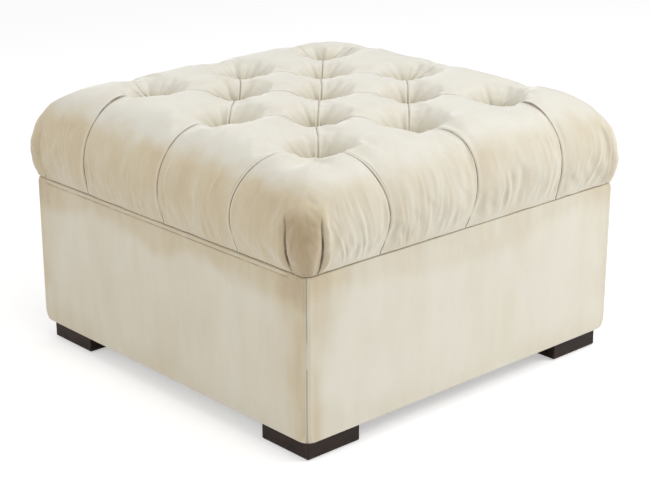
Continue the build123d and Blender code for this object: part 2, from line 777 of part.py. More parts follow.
with BuildPart() as tuft_pit:
    with BuildSketch(Plane.XZ):
        with BuildLine():
            TangentArc((tuft_reach, rim_height), (tuft_floor_radius, tuft_floor_z), tangent=rim_heading)
            Polyline(
                (tuft_floor_radius, tuft_floor_z),
                (0, tuft_floor_z),
                (0, rim_height),
                (tuft_reach, rim_height),
            )
        make_face()
    revolve(axis=Axis.Z)


def fold(stations):
    """Groove along X whose section at each station (x, reach, depth) is two flanks and a crease."""
    with BuildPart() as groove:
        for x, reach, depth in stations:
            with BuildSketch(Plane.YZ.offset(x)):
                with BuildLine():
                    flank = TangentArc((reach, rim_height), (0, lid_top - depth), tangent=rim_heading)
                    mirror(flank, about=Plane.YZ)
                    Line((-reach, rim_height), (reach, rim_height))
                make_face()
        loft()
    return groove.part


def side_groove(half_size, top_angle):
    """Groove down a side in the XZ plane, from an angle on the roll to past the bottom edge."""
    roll_centre = (half_size + lid_swell_overhang - roll_radius, swell_z)
    swell_centre = (half_size + lid_swell_overhang - swell_radius, swell_z)
    bottom_angle = math.degrees(math.asin(lid_swell_height / swell_radius)) + seam_overrun_angle
    heading = math.radians(top_angle)
    with BuildPart() as groove:
        with BuildLine(Plane.XZ) as path:
            CenterArc(roll_centre, roll_radius - seam_depth, top_angle, -top_angle)
            CenterArc(swell_centre, swell_radius - seam_depth, 0, -bottom_angle)
        down = (math.sin(heading), 0, -math.cos(heading))
        across = Plane(origin=path.line @ 0, x_dir=(0, 1, 0), z_dir=down)
        with BuildSketch(across):
            with BuildLine():
                flank = TangentArc((seam_reach, seam_depth + flank_rise), (0, 0), tangent=rim_heading)
                mirror(flank, about=Plane.YZ)
                Line((-seam_reach, seam_depth + flank_rise), (seam_reach, seam_depth + flank_rise))
            make_face()
        sweep(path=path.line)
    return groove.part


# Pleats between neighbouring tufts arch up from one tuft to the next
pleat_run = math.hypot(tuft_pitch_x, tuft_pitch_y) / 4
pleat_angle = math.degrees(math.atan2(tuft_pitch_y, tuft_pitch_x))
pleat_drop = tuft_depth - pleat_end_rise - pleat_depth
pleat = fold(
    [
        (share * pleat_run, pleat_reach, pleat_depth + pleat_drop * abs(share) ** pleat_arch_power)
        for share in pleat_section_shares
    ]
)
pleat_places = [
    Location(
        ((i / 2 + a / 4) * tuft_pitch_x, (j / 2 + b / 4) * tuft_pitch_y),
        a * b * pleat_angle,
    )
    for i, j in corners
    for a, b in corners
]


def outer_pleat(half_size, pitch):
    """First run of a side seam: from an outer tuft up to the start of the roll, along X."""
    run = half_size + lid_swell_overhang - roll_radius - pitch + seam_run_out
    drop = tuft_depth - pleat_end_rise - seam_depth
    return fold(
        [
            (
                pitch + share * run,
                pleat_reach + share * (seam_reach - pleat_reach),
                seam_depth + drop * (1 - share) ** pleat_arch_power,
            )
            for share in seam_run_shares
        ]
    )


# The padded velvet cover of the lid
with BuildPart() as lid_cover:
    add(cushion_form.part)
    with Locations(*tuft_places):
        add(tuft_pit.part, mode=Mode.SUBTRACT)
    with Locations(*pleat_places):
        add(pleat, mode=Mode.SUBTRACT)
    for turn, half_size, pitch, cross_half_size, cross_pitch in (
        (0, half_width, tuft_pitch_x, half_depth, tuft_pitch_y),
        (90, half_depth, tuft_pitch_y, half_width, tuft_pitch_x),
    ):
        seam_places = [
            Location((0, 0, 0), (0, 0, turn + half_turn)) * Location((0, row * cross_pitch, 0))
            for half_turn in (0, 180)
            for row in (-1, 0, 1)
        ]
        pleat_offset = cross_half_size - corner_pleat_inset
        corner_places = [
            Location((0, 0, 0), (0, 0, turn + half_turn)) * Location((0, row * pleat_offset, 0))
            for half_turn in (0, 180)
            for row in (-1, 1)
        ]
        with Locations(*seam_places):
            add(outer_pleat(half_size, pitch), mode=Mode.SUBTRACT)
            add(side_groove(half_size, 90), mode=Mode.SUBTRACT)
        with Locations(*corner_places):
            add(side_groove(half_size, corner_pleat_top_angle), mode=Mode.SUBTRACT)
    add(lid_foam_cavity.part, mode=Mode.SUBTRACT)
    with BuildSketch(Plane.XY.offset(board_bottom)):
        RectangleRounded(
            2 * (board_half_width + foam_clearance),
            2 * (board_half_depth + foam_clearance),
            lid_board_corner_radius + foam_clearance,
        )
    extrude(amount=lid_board_thickness, mode=Mode.SUBTRACT)
    with BuildSketch(Plane.XY.offset(lid_bottom)):
        Rectangle(base_width - 2 * lid_hem_width, base_depth - 2 * lid_hem_width)
    extrude(amount=lid_lining_thickness, mode=Mode.SUBTRACT)
    with Locations(*hinge_lid_places):
        add(hinge_screw_hole, mode=Mode.SUBTRACT)
    with Locations(*stay_lid_places):
        add(stay_screw_hole, mode=Mode.SUBTRACT)
save(lid_cover, "lid_cover")

print("lid hinge axis (y, z):", hinge_axis_y, hinge_axis_z)
print("stay base pivot, lid pivot, elbow (y, z):", base_pivot, lid_pivot, elbow)
print("stay pivot plane x:", (lower_arm_inner + lower_arm_outer) / 2)
print("lid top z:", lid_top, "storage clear half sizes:", lined_half_width, lined_half_depth)
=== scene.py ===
# %% [markdown]
# # Tufted storage ottoman
# A low square ottoman: a smooth box covered in cream velvet, on four dark block feet, under a thick
# cushion lid with blind diamond tufts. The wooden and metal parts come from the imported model. This
# lesson makes what is soft, gives every surface its finish, and lights the whole like a product photo.

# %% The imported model
import json
import math

import bpy
import numpy as np
from mathutils import Matrix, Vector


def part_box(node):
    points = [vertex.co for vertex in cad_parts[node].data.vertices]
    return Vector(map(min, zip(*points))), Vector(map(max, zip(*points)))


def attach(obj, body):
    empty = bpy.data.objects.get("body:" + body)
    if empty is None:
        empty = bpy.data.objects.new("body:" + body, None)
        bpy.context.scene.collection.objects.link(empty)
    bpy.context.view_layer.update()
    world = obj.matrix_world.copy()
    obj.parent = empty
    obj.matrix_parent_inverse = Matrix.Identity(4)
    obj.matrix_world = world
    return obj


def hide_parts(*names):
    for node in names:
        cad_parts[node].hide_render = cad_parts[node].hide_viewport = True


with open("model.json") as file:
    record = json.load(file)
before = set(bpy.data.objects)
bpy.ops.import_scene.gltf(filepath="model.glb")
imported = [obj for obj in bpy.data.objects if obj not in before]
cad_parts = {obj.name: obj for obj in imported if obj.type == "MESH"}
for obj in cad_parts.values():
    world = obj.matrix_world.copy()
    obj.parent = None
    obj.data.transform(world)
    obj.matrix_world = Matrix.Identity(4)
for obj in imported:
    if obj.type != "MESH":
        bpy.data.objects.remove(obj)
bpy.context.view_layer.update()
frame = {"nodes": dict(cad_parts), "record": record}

cad_nodes = frame["nodes"]
print("pieces in the packed model:", len(cad_nodes))

# %% [markdown]
# ## A grid of points becomes a mesh
# Every soft piece here is a surface: a grid of points, worked out with whole arrays, whose neighbours
# are joined by faces. A grid that meets itself is wrapped. These helpers put the arrays into Blender in
# one go, which is far quicker than adding points one at a time.

# %% Mesh helpers


def grid_quads(rows, columns, wrap_rows=False, wrap_columns=False):
    """Corners of each four-sided face between neighbouring points of a grid, counted row by row."""
    row = np.arange(rows if wrap_rows else rows - 1)
    column = np.arange(columns if wrap_columns else columns - 1)
    row, column = np.meshgrid(row, column, indexing="ij")
    below, beside = (row + 1) % rows * columns, (column + 1) % columns
    row = row * columns
    return np.stack([row + column, below + column, below + beside, row + beside], axis=-1).reshape(-1, 4)


def fan(ring, point):
    """Triangles that join each step along a closed ring of points to one more point."""
    return np.stack([ring, np.roll(ring, -1), np.full(len(ring), point)], axis=-1)


def box_of(node):
    """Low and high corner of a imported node's box, as arrays."""
    return (np.array(corner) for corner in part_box(node))


def mirrored(half):
    """Grid lines on both sides of nought from those on one side, the first of which is nought."""
    return np.concatenate([-half[:0:-1], half])


def make_piece(name, points, faces, uv=None, values=None):
    """Object with smooth faces from a list of face arrays; uv and values are given for each point."""
    mesh = bpy.data.meshes.new(name)
    loops = np.concatenate([part.ravel() for part in faces]).astype(np.int32)
    sizes = np.concatenate([np.full(len(part), part.shape[1]) for part in faces])
    mesh.vertices.add(len(points))
    mesh.vertices.foreach_set("co", np.ascontiguousarray(points, dtype=np.float32).ravel())
    mesh.loops.add(len(loops))
    mesh.loops.foreach_set("vertex_index", loops)
    mesh.polygons.add(len(sizes))
    mesh.polygons.foreach_set("loop_start", (np.cumsum(sizes) - sizes).astype(np.int32))
    mesh.polygons.foreach_set("use_smooth", np.ones(len(sizes), bool))
    if uv is not None:
        mesh.uv_layers.new(name="UVMap").data.foreach_set("uv", uv[loops].astype(np.float32).ravel())
    for key, value in (values or {}).items():
        mesh.attributes.new(key, "FLOAT", "POINT").data.foreach_set("value", value.astype(np.float32).ravel())
    mesh.update(calc_edges=True)
    piece = bpy.data.objects.new(name, mesh)
    bpy.context.scene.collection.objects.link(piece)
    print(name, "has", len(points), "points and", len(sizes), "faces")
    return piece


def wave_noise(u, v, seed):
    """Smooth noise from -1 to 1: random heights at whole numbers of u and v, blended between them."""
    size = 64
    table = np.random.default_rng(seed).uniform(-1, 1, (size, size))
    column, row = np.floor(u).astype(int), np.floor(v).astype(int)
    across, down = (w**3 * (w * (w * 6 - 15) + 10) for w in (u - column, v - row))
    this, beside, here, below = column % size, (column + 1) % size, row % size, (row + 1) % size
    near = table[this, here] * (1 - across) + table[beside, here] * across
    far = table[this, below] * (1 - across) + table[beside, below] * across
    return near * (1 - down) + far * down


def ease(low, high, value):
    """Smooth step: 0 below low, 1 above high and an S-shaped rise between them."""
    share = np.clip((value - low) / (high - low), 0, 1)
    return share * share * (3 - 2 * share)


def bell(distance, width):
    """Bell curve: 1 at no distance, falling to a third at this width."""
    return np.exp(-((distance / width) ** 2))


print("a grid of 3 by 4 points has", len(grid_quads(3, 4)), "faces")

# %% [markdown]
# ## One square of cloth folded over a block
# The cushion, its foam and the lining of the box all start as a square of cloth laid over (or into) a
# block with rounded corners. The larger of the two lengths a and b says how far a point has gone along
# the block's profile, and the other says where it lies along that side. Near the middle the square is
# left as it is, so straight lines of stitching stay straight.

# %% The folded square


def lay_out(a, b, profile, even):
    """Reach of the cloth's points, their places along a side, and the side's length from middle to corner.

    The profile holds columns of reach, half size, corner radius and height. A point's reach is the larger
    of |a| and |b|. The smaller runs along the side: unchanged up to the length even, and past that shared
    out up to the corner's middle.
    """
    far, near = np.maximum(abs(a), abs(b)), np.minimum(abs(a), abs(b))
    half, corner = (np.interp(far, profile[:, 0], profile[:, k]) for k in (1, 2))
    quarter = half - corner + corner * math.pi / 4
    spare = np.clip((near - even) / np.maximum(far - even, 1e-9), 0, 1)
    along = np.where(near > even, even + spare * (quarter - even), near)
    sign = np.where(abs(a) >= abs(b), np.sign(b), np.sign(a))
    return far, sign * np.minimum(along, quarter), quarter


def fold_over(a, b, reach, along, profile):
    """Points of the cloth over the block: each section is the profile's square with round corners."""
    half, corner, height = (np.interp(reach, profile[:, 0], profile[:, k]) for k in (1, 2, 3))
    turn = np.clip((abs(along) - (half - corner)) / np.maximum(corner, 1e-9), 0, math.pi / 4)
    out = half - corner * (1 - np.cos(turn))
    side = np.sign(along) * np.where(turn > 0, half - corner + corner * np.sin(turn), abs(along))
    on_x = abs(a) >= abs(b)
    x, y = np.where(on_x, np.sign(a) * out, side), np.where(on_x, side, np.sign(b) * out)
    return np.stack([x, y, height], axis=-1)


def folded_square(lines, profile, even):
    """Cloth places a and b on a square grid of these lines, their reach, and their points over the block."""
    a, b = np.meshgrid(lines, lines, indexing="ij")
    reach, along, _ = lay_out(a, b, profile, even)
    return a, b, reach, fold_over(a, b, reach, along, profile)


def profile_table(*stretches):
    """Columns of reach, half size, corner radius and height from stretches of (half, corner, height)."""
    rows = np.concatenate([np.stack(np.broadcast_arrays(*stretch), axis=-1) for stretch in stretches])
    steps = np.hypot(np.diff(rows[:, 0]), np.diff(rows[:, 2]))
    reach = np.concatenate([[0], np.cumsum(steps)])
    keep = np.concatenate([[True], np.diff(reach) > 1e-7])
    return np.column_stack([reach, rows])[keep]


def surface_normals(points):
    """Unit normals of a grid of points, from the cross product of its two directions."""
    down, across = np.gradient(points, axis=0), np.gradient(points, axis=1)
    normals = np.cross(down, across)
    return normals / np.maximum(np.linalg.norm(normals, axis=-1, keepdims=True), 1e-12)


def rim_of(count):
    """Numbers of the points round the edge of a square grid, in order."""
    index = np.arange(count * count).reshape(count, count)
    return np.concatenate([index[0, :-1], index[:-1, -1], index[-1, :0:-1], index[:0:-1, 0]])


# %% [markdown]
# ## The cushion's plain form
# The lid's cushion is level on top, rolls over its edge in a large quarter circle, and is drawn in again
# below its widest line, so that it sits on the box like a pillow. Its corners are wide at the top and
# tight at the bottom. A hem is turned under the lid board, where the cloth is stapled.

# %% Sizes of the cushion, in metres
lid_low, lid_high = box_of("lid_cover")
swell = lid_high[0]
roll_radius = 0.107
swell_height = lid_high[2] - roll_radius
draw_radius = 0.1334
drop = swell_height - lid_low[2]
edge_radius = 0.004
edge_droop = 0.0009
hem_half = 0.333
tuft_pitch = 0.225
seam_ease = 0.235
flat_half = swell - roll_radius
top_corner, swell_corner, edge_corner, hem_corner = 0.076, 0.036, 0.014, 0.012
roll_corner_gain, drawn_corner_loss = 0.040, 0.022

flat = np.array([0.0, seam_ease, *np.linspace(seam_ease, flat_half, 12)[1:]])
flat_corner = top_corner * np.clip((flat - seam_ease) / (flat_half - seam_ease), 0, 1)
roll = np.linspace(math.pi / 2, 0, 60)
fall = np.linspace(0, drop - edge_radius, 30)
under = np.linspace(0, math.pi / 2, 8)
drawn_half = swell - draw_radius + np.sqrt(draw_radius**2 - fall**2)
bottom_half = drawn_half[-1] - edge_radius
hem_halves = np.array([bottom_half - 0.012, 0.350, 0.340, hem_half, hem_half])
hem_rises = np.array([0, 0, 0.0008, 0.0008, 0.006])
cushion_profile = profile_table(
    (flat, flat_corner, lid_high[2]),
    (flat_half + roll_radius * np.cos(roll), swell_corner + roll_corner_gain * roll / (math.pi / 2),
     swell_height + roll_radius * np.sin(roll)),
    (drawn_half, swell_corner - drawn_corner_loss * fall / drop, swell_height - fall),
    (bottom_half + edge_radius * np.cos(under), edge_corner,
     lid_low[2] - edge_droop + (edge_radius + edge_droop) * (1 - np.sin(under))),
    (hem_halves, hem_corner, lid_low[2] + hem_rises),
)
swell_reach = flat_half + roll_radius * math.pi / 2
above_hem = cushion_profile[: -len(hem_halves)]
edge_reach = np.interp(-lid_low[2] - edge_radius, -above_hem[:, 3], above_hem[:, 0])
print("the cloth runs", round(cushion_profile[-1, 0], 3), "m from the middle to the end of its hem")

# %% [markdown]
# ## Folds, tufts and seams
# A blind tuft is a twine pulled through the cushion and tied under the board. It draws the cloth into a
# wide funnel with small creases in its flanks. Between the tufts the spare cloth is folded into pleats
# that run diagonally, shallow half-way and deep at the tufts. From the outer tufts straight seams run
# over the roll and down the sides, each with a rounded lip on either hand. Where folds meet, the deepest
# wins, softly.

# %% Depths of the folds
outer_tufts = [(i, j) for i in (-1, 0, 1) for j in (-1, 0, 1)]
inner_tufts = [(i / 2, j / 2) for i in (-1, 1) for j in (-1, 1)]
tufts = np.array(outer_tufts + inner_tufts) * tuft_pitch
tuft_depth = 0.045
funnel_end, funnel_full = 0.0795, 0.045
crease_peak, crease_fade, crease_end = 0.024, 0.050, 0.095
# Creases beside each pleat: angle from it and spread, in degrees, and depth in millimetres.
tuft_creases = ((-22, 6.0, 6.5), (23, 6.0, 6.5), (46, 8.0, 4.0), (-10, 4.5, 1.3), (11, 4.5, 1.3))
pleat_end_depth, pleat_depth, pleat_reach = 0.029, 0.0065, 0.056
seam_depth, seam_reach = 0.0060, 0.052
pleat_lip, pleat_lip_place = 0.0006, 0.0044
seam_lip, seam_lip_place = 0.0011, 0.0042
lip_width = 0.0021
corner_depth, corner_lip, corner_lip_place, corner_rise = 0.0065, 0.0026, 0.0078, 0.027


def fold_depth(distance, depth, reach, slit_share=0.22, slit_reach=0.0017):
    """Depth beside a fold: a dip that eases out over its reach, plus a narrow slit in its middle."""
    dip = (1 - slit_share) * np.clip(1 - distance / reach, 0, 1) ** 2.1
    return depth * (dip + slit_share * np.exp(-((distance / slit_reach) ** 1.2)))


def tuft_dips(a, b):
    """Depth of the funnels at the tufts, and of the creases that fan out from each.

    A funnel's depth falls off as an exponential of the distance and ends half-way to the next tuft, and a
    wide shallow bowl round it falls off as a bell curve. The fan is a ring of narrow valleys between the
    pleats, deepest a little way out, that fade.
    """
    funnels, fans, bowls = np.zeros_like(a), np.zeros_like(a), np.zeros_like(a)
    random = np.random.default_rng(12)
    for x, y, dent, width in edge_dents:
        bowls = bowls + dent * bell(np.hypot(a - x, b - y), width)
    for (x, y), (tuft_width, bowl, width) in zip(tufts, tuft_sizes):
        distance = np.hypot(a - x, b - y)
        angle = np.arctan2(b - y, a - x)
        funnel = tuft_depth * np.exp(-distance / tuft_width) * ease(funnel_end, funnel_full, distance)
        funnels = np.maximum(funnels, funnel)
        bowls = bowls + bowl * bell(distance, width)
        outward = distance / crease_peak
        ring = outward * np.exp(1 - outward) * (1 - ease(crease_fade, crease_end, distance))
        for pleat in range(4):
            for offset, spread, depth in tuft_creases:
                middle = math.radians(45 + 90 * pleat + offset + random.uniform(-6, 6))
                swing = np.abs((angle - middle + math.pi) % (2 * math.pi) - math.pi)
                fans += depth * random.uniform(0.45, 1.3) / 1000 * ring * bell(swing, math.radians(spread))
    return funnels, fans, bowls


def pleat_dips(a, b):
    """Depth of the diagonal pleats, growing as a cubic from half-way to a tuft, and their lips' height."""
    depths, lips = np.zeros_like(a), np.zeros_like(a)
    length = tuft_pitch * math.sqrt(2) / 4
    for i, j, c, d in np.array(np.meshgrid(*[(-1, 1)] * 4)).reshape(4, -1).T:
        middle = np.array([i / 2 + c / 4, j / 2 + d / 4]) * tuft_pitch
        run = ((a - middle[0]) * c + (b - middle[1]) * d) / math.sqrt(2)
        away = ((a - middle[0]) * d - (b - middle[1]) * c) / math.sqrt(2)
        share = np.clip(abs(run) / length, 0, 1)
        distance = np.hypot(away, np.maximum(abs(run) - length, 0))
        depth = pleat_depth + (pleat_end_depth - pleat_depth) * share**3
        depths = np.maximum(depths, fold_depth(distance, depth, pleat_reach))
        lips = np.maximum(lips, pleat_lip * bell(distance - pleat_lip_place, lip_width))
    return depths, lips


def seam_dips(a, b, reach, height):
    """Depth of the straight seams from the outer tufts down the sides, and the height of their lips.

    On the far sides the cloth was pulled harder over the edge, so the seams only show from the roll down.
    """
    near = np.minimum(abs(a), abs(b))
    calm = 1 - 0.7 * (np.maximum(a, b) > tuft_pitch) * ease(0.0, 0.03, reach - near) * ease(0.37, 0.31, reach)
    depths, lips = np.zeros_like(reach), np.zeros_like(reach)
    rise = np.clip((reach - tuft_pitch) / 0.07, 0, 1)
    low = 0.35 + 0.65 * ease(lid_low[2], 0.356, height)
    depth = (seam_depth * calm + (pleat_end_depth - seam_depth) * (1 - rise) ** 3) * low
    for place in (0.0, tuft_pitch):
        distance = np.hypot(near - place, np.maximum(tuft_pitch - reach, 0))
        depths = np.maximum(depths, fold_depth(distance, depth, seam_reach, 0.18))
        lip = seam_lip * bell(distance - seam_lip_place, lip_width)
        lips = lips + lip * ease(tuft_pitch + 0.01, tuft_pitch + 0.07, reach) * low * calm
    return depths, lips


def corner_places(a, b, height):
    """Distance of the corner pleats from the corner's middle, wider half-way down than at either end."""
    levels = [0.329, 0.337, 0.347, 0.360, 0.380, 0.405, 0.430]
    on_x = np.interp(height, levels, [0.0305, 0.0365, 0.0412, 0.0446, 0.0460, 0.0445, 0.0415])
    on_y = np.interp(height, levels, [0.0210, 0.0272, 0.0312, 0.0336, 0.0340, 0.0310, 0.0245])
    return np.where(abs(a) >= abs(b), on_x, on_y)


def corner_dips(reach, beyond, height, top):
    """Depth of the two pleats at each corner, with a lip on the outer side; beyond is how far past one."""
    fade = ease(top, top - corner_rise, height) * (0.4 + 0.6 * ease(lid_low[2], 0.350, height))
    fade = fade * (reach > tuft_pitch)
    inside = corner_depth * np.exp(-np.maximum(-beyond, 0) / 0.010) * ease(0.0008, -0.0008, beyond)
    outside = corner_depth * np.exp(-np.maximum(beyond, 0) / 0.0022) * ease(-0.0008, 0.0008, beyond)
    lip = corner_lip * bell(beyond - corner_lip_place, 0.0046)
    return (inside + outside - lip) * fade


def gathers(reach, near, along, beyond, height, a, b):
    """Upright wrinkles on the sides: noise narrow along the side and long down it, with sharp crests."""
    to_seam = np.minimum(np.minimum(near, abs(near - tuft_pitch)), abs(beyond))
    on_x = abs(a) >= abs(b)
    place = along + np.where(on_x, np.sign(a) * 3.1, np.sign(b) * 7.7)
    lean = 0.10 * (near - tuft_pitch / 2) * ease(0.43, 0.33, height) * np.sign(along)
    drift = lean + 0.006 * wave_noise(place / 0.06, reach / 0.09, 5)
    wide = wave_noise((place + drift) / 0.0094, reach / 0.058, 21)
    fine = wave_noise((place + drift) / 0.0052, reach / 0.045, 22)
    patch = 0.30 + 0.70 * ease(-0.4, 0.35, wave_noise(place / 0.06, reach / 0.15, 23))
    where = ease(0.010, 0.035, to_seam) * ease(0.464, 0.428, height) * ease(0.3295, 0.350, height)
    return (0.0013 * (wide + 0.45 * wide**2) + 0.0007 * fine) * patch * where


# %% [markdown]
# ## Made by hand
# No two tufts sit quite where the chalk marks were. Each is shifted a little, has its own width, and lies
# in a shallow bowl of its own. The seams on the sides are drawn together where the cloth is pulled down, so
# the pattern doesn't look printed. The cloth between follows smoothly.

# %% Small shifts of the tufts and seams
# Given in millimetres: each tuft's shift in x and y, then its funnel's width and its bowl's depth and width.
tuft_shifts = np.array([
    (-15.0, -27.0), (-10.7, -11.9), (5.3, -4.9), (-17.2, -17.5), (-2.3, 2.1), (-5.4, -0.5), (-4.0, -6.0),
    (-3.7, 3.4), (-8.9, 8.1), (-12.4, -10.3), (3.4, -2.5), (-3.1, -0.2), (-10.8, 3.1),
]) / 1000
tuft_sizes = np.array([
    (44, 20, 80), (35, 12, 60), (30, 4, 62), (36, 20, 60), (30, 4, 62), (30, 7, 62), (33, 13, 64),
    (30, 4, 62), (30, 5, 62), (32, 2, 55), (30, 6, 62), (31, 6, 62), (29, 5, 62),
]) / 1000
# Dents where the pull reaches the edge: place in x and y, depth and width.
edge_dents = np.array([
    (-298, -298, 24, 40), (-298, -35, 6, 45), (-35, -298, 11, 45), (170, -300, 12, 45), (-298, 180, 4, 45),
    (300, -205, 5, 50), (-200, 300, 4, 50), (30, 300, 3, 45), (300, -30, 3, 45), (295, 295, 3, 45),
]) / 1000
# For each side, whether it faces x and its sign: where the three seams end up, how they bow, and their feet.
seam_places = {
    (True, -1): (-0.204, -0.011, 0.206), (True, 1): (-0.207, 0.005, 0.212),
    (False, -1): (-0.207, -0.007, 0.216), (False, 1): (-0.212, 0.006, 0.208),
}
seam_bows = {
    (True, -1): (0, 0, 0), (True, 1): (0, -0.004, 0.003),
    (False, -1): (0, 0.015, 0.006), (False, 1): (0.004, 0, 0),
}
seam_feet = {
    (True, -1): (-0.010, -0.004, 0.004), (True, 1): (-0.006, 0.003, 0.008),
    (False, -1): (-0.014, -0.013, 0), (False, 1): (-0.009, 0.004, 0.008),
}


def shift_tufts(a, b):
    """Sideways shift of the cloth: the tufts' mean shift, each weighted by a bell curve of its distance."""
    a, b = np.clip(a, -tuft_pitch, tuft_pitch), np.clip(b, -tuft_pitch, tuft_pitch)
    total, weight = np.zeros((*a.shape, 2)), np.full(a.shape, 0.02)
    for (x, y), shift in zip(tufts, tuft_shifts):
        pull = bell(np.hypot(a - x, b - y), 0.07)
        total += pull[..., None] * shift
        weight += pull
    return total / weight[..., None]


def draw_in(a, b, reach, along, quarter, share):
    """Cloth along the sides moved so that the seams reach their places, and shared out evenly between."""
    bowed = bell(reach - 0.37, 0.08) * ease(tuft_pitch, 0.28, reach)
    footed = np.clip((reach - swell_reach + 0.015) / (edge_reach - swell_reach + 0.018), 0, 1) ** 2.2
    on_x = abs(a) >= abs(b)
    sign = np.where(on_x, np.sign(a), np.sign(b))
    moved = along.copy()
    for (side_on_x, side), places in seam_places.items():
        bows, feet = seam_bows[side_on_x, side], seam_feet[side_on_x, side]
        low, middle, high = (
            stop + share * (place - stop) + bow * bowed + foot * footed
            for stop, place, bow, foot in zip((-tuft_pitch, 0, tuft_pitch), places, bows, feet))
        outer = np.maximum(quarter - tuft_pitch, 1e-9)
        drawn = np.select(
            [along < -tuft_pitch, along < 0, along < tuft_pitch],
            [-quarter + (along + quarter) * (low + quarter) / outer,
             low + (along + tuft_pitch) * (middle - low) / tuft_pitch,
             middle + along * (high - middle) / tuft_pitch],
            quarter - (quarter - along) * (quarter - high) / outer)
        moved = np.where((on_x == side_on_x) & (sign == side) & (share > 0), drawn, moved)
    return moved


strays = np.linalg.norm(tuft_shifts, axis=1) * 1000
print("the tufts stray up to", round(float(strays.max()), 1), "mm from their marks")

# %% [markdown]
# ## The cushion
# The plain form is worked out on a fine grid and then pushed in along its own normals by the depth of the
# folds. The grid has extra lines beside the seams, so that a slit only two millimetres wide stays sharp,
# and each square is cut into triangles along the pleat that crosses it.

# %% Cushion surface
line_step = 0.00225
inner_lines = np.arange(0, tuft_pitch + line_step / 2, line_step)
outer_lines = np.linspace(tuft_pitch, edge_reach, 132)[1:]
hem_lines = np.interp([0.25, 0.5, 0.75, 1], [0, 1], [edge_reach, edge_reach + edge_radius * math.pi / 2])
last_lines = np.linspace(hem_lines[-1], cushion_profile[-1, 0] - 0.006, 7)[1:]
slit_lines = np.array([0.0011, tuft_pitch - 0.0011, tuft_pitch + 0.0011])
half_lines = np.unique(np.round(np.concatenate(
    [inner_lines, outer_lines, hem_lines, last_lines, slit_lines, [cushion_profile[-1, 0]]]), 7))
lines = mirrored(half_lines)


def plain_cushion(a, b):
    """Points of the cushion's plain form at cloth places a and b, with the shifts, and how they lie there."""
    reach, along, quarter = lay_out(a, b, cushion_profile, seam_ease)
    share = ease(tuft_pitch, swell_reach, reach)
    along = draw_in(a, b, reach, along, quarter, share)
    points = fold_over(a, b, reach, along, cushion_profile)
    shift = shift_tufts(a, b) * (1 - share)[..., None]
    points[..., 0] += shift[..., 0] * (1 - ease(tuft_pitch, flat_half + 0.055, abs(a)))
    points[..., 1] += shift[..., 1] * (1 - ease(tuft_pitch, flat_half + 0.055, abs(b)))
    return points, reach, along, quarter


def broad_depth(a, b, reach, height):
    """Depth of funnels, pleats and seams, where the deepest wins softly, then the bowls, creases and lips."""
    funnels, fans, bowls = tuft_dips(a, b)
    pleats, pleat_lips = pleat_dips(a, b)
    seams, seam_lips = seam_dips(a, b, reach, height)
    power = 4
    depth = (funnels**power + pleats**power + seams**power) ** (1 / power)
    return depth, bowls, fans, np.maximum(pleat_lips, seam_lips)


cloth_a, cloth_b = np.meshgrid(lines, lines, indexing="ij")
plain, reach, along, quarter = plain_cushion(cloth_a, cloth_b)
height = plain[..., 2]
near = np.minimum(abs(cloth_a), abs(cloth_b))
normals = surface_normals(plain)
depth, bowls, fans, lips = broad_depth(cloth_a, cloth_b, reach, height)
deepest = 0.053
sunk = deepest * (1 - np.exp(-((depth + bowls) / deepest) ** 3)) ** (1 / 3)
from_corner = quarter - abs(along)
beyond = from_corner - corner_places(cloth_a, cloth_b, height)
shown = 1 - ease(edge_reach - 0.001, edge_reach + 0.006, reach)
on_top = 1 - ease(flat_half, flat_half + 0.11, reach)
to_seam = np.minimum(near, abs(near - tuft_pitch))
left_corner_swell = 0.0035 * bell(np.hypot(cloth_a + 0.385, cloth_b - 0.385), 0.04)
bulge = 0.0020 * bell(reach - 0.37, 0.06) * ease(0, 0.08, to_seam) + left_corner_swell
swells = 0.0016 * wave_noise(cloth_a / 0.085 + 9, cloth_b / 0.085 + 5, 3)
to_tuft = np.minimum.reduce([np.hypot(cloth_a - x, cloth_b - y) for x, y in tufts])
crown = 0.0058 * ease(0.0, 0.076, to_tuft) * on_top
right_corner = (cloth_a > 0) & (cloth_b < 0)
pleat_top = np.where(right_corner, 0.450, 0.432)
creases = fans + corner_dips(reach, beyond, height, pleat_top) * np.where(right_corner, 1.2, 1.0) - lips
wrinkles = gathers(reach, near, along, beyond, height, cloth_a, cloth_b)
lift = (crown + bulge + swells + wrinkles - sunk - creases) * shown
print("the cushion's grid has", len(lines), "lines each way")

# %% [markdown]
# ## Wrinkles from the cloth solver
# The folds so far follow rules, and velvet does not. So the same surface is made once more with wider cells
# and handed to the cloth solver. It is held along every pleat, seam and tuft and along its bottom edge, it
# is cut a few per cent too large, and air presses it outwards, so it buckles wherever it has room. Only the
# buckles are kept: the broad swelling is taken out, because the form already has it. The trial piece is
# thrown away afterwards.

# %% Cloth solver
trial_cell = tuft_pitch / 32
trial_half = np.concatenate([np.arange(32) * trial_cell, np.linspace(tuft_pitch, edge_reach, 44)])
trial_lines = mirrored(trial_half)
buckle_limit = 0.0035
solver_settings = {
    "quality": 6, "mass": 0.25, "tension_stiffness": 25, "compression_stiffness": 25,
    "bending_stiffness": 0.15, "shrink_min": -0.045, "use_pressure": True, "uniform_pressure_force": 3.0,
    "vertex_group_mass": "held",
}


def averaged(values, times):
    """Grid of values, each mixed with a quarter of either neighbour, both ways, this many times."""
    for _ in range(times):
        for axis in (0, 1):
            padded = np.concatenate([values.take([0], axis), values, values.take([-1], axis)], axis)
            low, high = np.arange(values.shape[axis]), np.arange(values.shape[axis]) + 2
            values = (padded.take(low, axis) + 2 * values + padded.take(high, axis)) / 4
    return values


